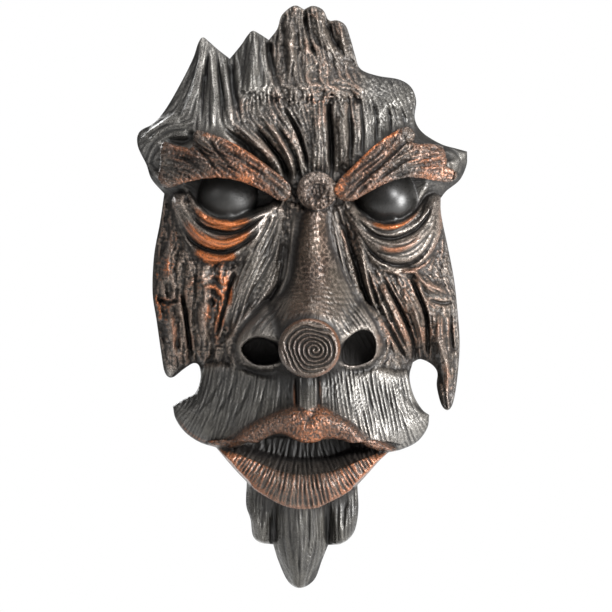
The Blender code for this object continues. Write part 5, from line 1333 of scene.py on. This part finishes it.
def resinMaterial():
    material = bpy.data.materials.new("darkBronzeResin")
    material.use_nodes = True
    shader = material.node_tree.nodes["Principled BSDF"]
    n = Nodes(material.node_tree)
    place = n.add("ShaderNodeTexCoord").outputs["Object"]
    cloud = n.noise(finish["cloudScale"], 4.0, 0.6, place)
    speck = n.noise(finish["speckScale"], 3.0, 0.7, place)
    copper, washAndShade, rubAndSheen, eye, warm, pore, dull = (n.value(name) for name in finishFields[:7])
    black = n.mix(warm, finish["coolBlack"], finish["brownBlack"])
    dark = n.mix(warm, finish["graphite"], finish["umber"])
    base = n.mix(n.ramp(cloud, 0.35, 0.65), black, dark)
    brushedAndSheen = n.mix(warm, finish["pewter"], finish["rosePewter"])
    # pewter on rubbed raised parts, and the painted sheen and highlight carried by the same mask
    base = n.mix(n.math("MULTIPLY", rubAndSheen, n.ramp(speck, 0.35, 0.6), True), base, brushedAndSheen)
    brightness = n.ramp(n.math("ADD", copper, n.math("MULTIPLY", speck, 0.6)), 0.5, 1.2)
    orange = n.mix(brightness, finish["rust"], finish["copper"])
    base = n.mix(n.math("MULTIPLY", n.ramp(copper, 0.05, 0.6), n.ramp(speck, 0.28, 0.48), True), base, orange)
    holes = n.ramp(n.noise(finish["poreScale"], 2.0, 0.6, place), 0.50, 0.42)
    hole = n.math("MULTIPLY", pore, holes, True)
    base = n.mix(n.math("MULTIPLY", hole, 0.85), base, black)
    # mixes in black: painted shade in grooves, hollows, nostrils and mouth, with a dark wash in the fine
    # grooves
    base = n.mix(washAndShade, base, black)
    base = n.mix(n.math("MULTIPLY", eye, 0.9), base, finish["coolBlack"])
    rough = n.ramp(speck, 0.3, 0.7, finish["roughness"])
    rough = n.math("ADD", rough, n.math("MULTIPLY", washAndShade, finish["cavityRoughness"]), True)
    rough = n.math("ADD", rough, n.math("MULTIPLY", dull, finish["dullRoughness"]), True)
    offEyes = n.math("SUBTRACT", 1.0, eye, True)
    poreBump, speckBump, grainBump = (finish[name] for name in ("poreBump", "speckBump", "grainBump"))
    normal = n.bump(poreBump[0], poreBump[1], hole, invert=True)
    normal = n.bump(n.math("MULTIPLY", offEyes, speckBump[0]), speckBump[1], speck, normal)
    normal = n.bump(n.math("MULTIPLY", offEyes, grainBump[0]), grainBump[1], grainHeight(n, place), normal)
    shader.inputs["Metallic"].default_value = finish["metallic"]
    for name, value in (("Base Color", base), ("Roughness", rough), ("Normal", normal)):
        n.plug(shader.inputs[name], value)
    return material


fields = faceFields()
print("relief worked out, deepest point", round(float(fields["depth"].max()), 1), "mm")
face = buildCasting(fields)
face.data.materials.append(resinMaterial())
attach(face, "root")
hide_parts("tree_face")
print("casting built,", len(face.data.polygons), "faces")

paleFloor = {
    "drop": 0.46,
    "radius": 1.3,
    "colour": (0.85, 0.85, 0.84, 1),
    "shade": (0.83725, 0.83725, 0.8274, 1),
    "roughness": 0.7,
}


def floorMaterial():
    material = bpy.data.materials.new("paleFloor")
    material.use_nodes = True
    shader = material.node_tree.nodes["Principled BSDF"]
    n = Nodes(material.node_tree)
    colour = n.mix(n.noise(6.0, 2.0, 0.55), paleFloor["shade"], paleFloor["colour"])
    n.plug(shader.inputs["Base Color"], colour)
    n.plug(shader.inputs["Roughness"], paleFloor["roughness"])
    return material


def setFloor():
    disc = bmesh.new()
    bmesh.ops.create_circle(disc, cap_ends=True, radius=paleFloor["radius"], segments=96)
    data = bpy.data.meshes.new("paleFloor")
    disc.to_mesh(data)
    disc.free()
    floor = bpy.data.objects.new("paleFloor", data)
    floor.location = (0, 0, -paleFloor["drop"])
    bpy.context.scene.collection.objects.link(floor)
    data.materials.append(floorMaterial())


studio = {
    "cameraDistance": 9.0,
    "frameSize": 0.3978,
    "frameMiddle": (0.00065, -0.1209),
    "roomLight": 0.32,
    "lights": {  # place, size, power
        "keyLight": ((0.72, -1.15, 0.42), 0.45, 28.0),
        "windowLight": ((1.35, -0.85, -0.12), 0.8, 85.0),
        "fillLight": ((-1.1, -0.9, 0.5), 0.8, 9.0),
        "topLight": ((0.1, -0.2, 1.1), 0.6, 12.0),
        "backLight": ((-0.5, 1.3, 0.4), 0.8, 20.0),
    },
}


def setLights():
    aim = Vector((0, 0, studio["frameMiddle"][1]))
    for name, (place, size, power) in studio["lights"].items():
        data = bpy.data.lights.new(name, "AREA")
        data.shape = "DISK"
        data.size = size
        data.energy = power
        light = bpy.data.objects.new(name, data)
        light.location = place
        light.rotation_euler = (aim - Vector(place)).to_track_quat("-Z", "Y").to_euler()
        bpy.context.scene.collection.objects.link(light)


def setRoom():
    # the camera sees plain white; the face is lit by less of it
    world = bpy.data.worlds.new("softRoom")
    bpy.context.scene.world = world
    world.use_nodes = True
    world.node_tree.nodes.clear()
    n = Nodes(world.node_tree)
    white = (1, 1, 1, 1)
    seen = n.add("ShaderNodeBackground", {"Color": white, "Strength": 1.0}).outputs[0]
    light = n.add("ShaderNodeBackground", {"Color": white, "Strength": studio["roomLight"]}).outputs[0]
    ray = n.add("ShaderNodeLightPath").outputs["Is Camera Ray"]
    both = n.add("ShaderNodeMixShader", {0: ray, 1: light, 2: seen}).outputs[0]
    n.add("ShaderNodeOutputWorld", {"Surface": both})


def setCamera():
    data = bpy.data.cameras.new("straightOn")
    data.lens = data.sensor_width * studio["cameraDistance"] / studio["frameSize"]
    data.clip_end = 20
    camera = bpy.data.objects.new("straightOn", data)
    camera.location = (studio["frameMiddle"][0], -studio["cameraDistance"], studio["frameMiddle"][1])
    camera.rotation_euler = (np.pi / 2, 0, 0)
    bpy.context.scene.collection.objects.link(camera)
    bpy.context.scene.camera = camera


setFloor()
setLights()
setRoom()
setCamera()
bpy.context.scene.view_settings.view_transform = "Standard"
print("studio ready")
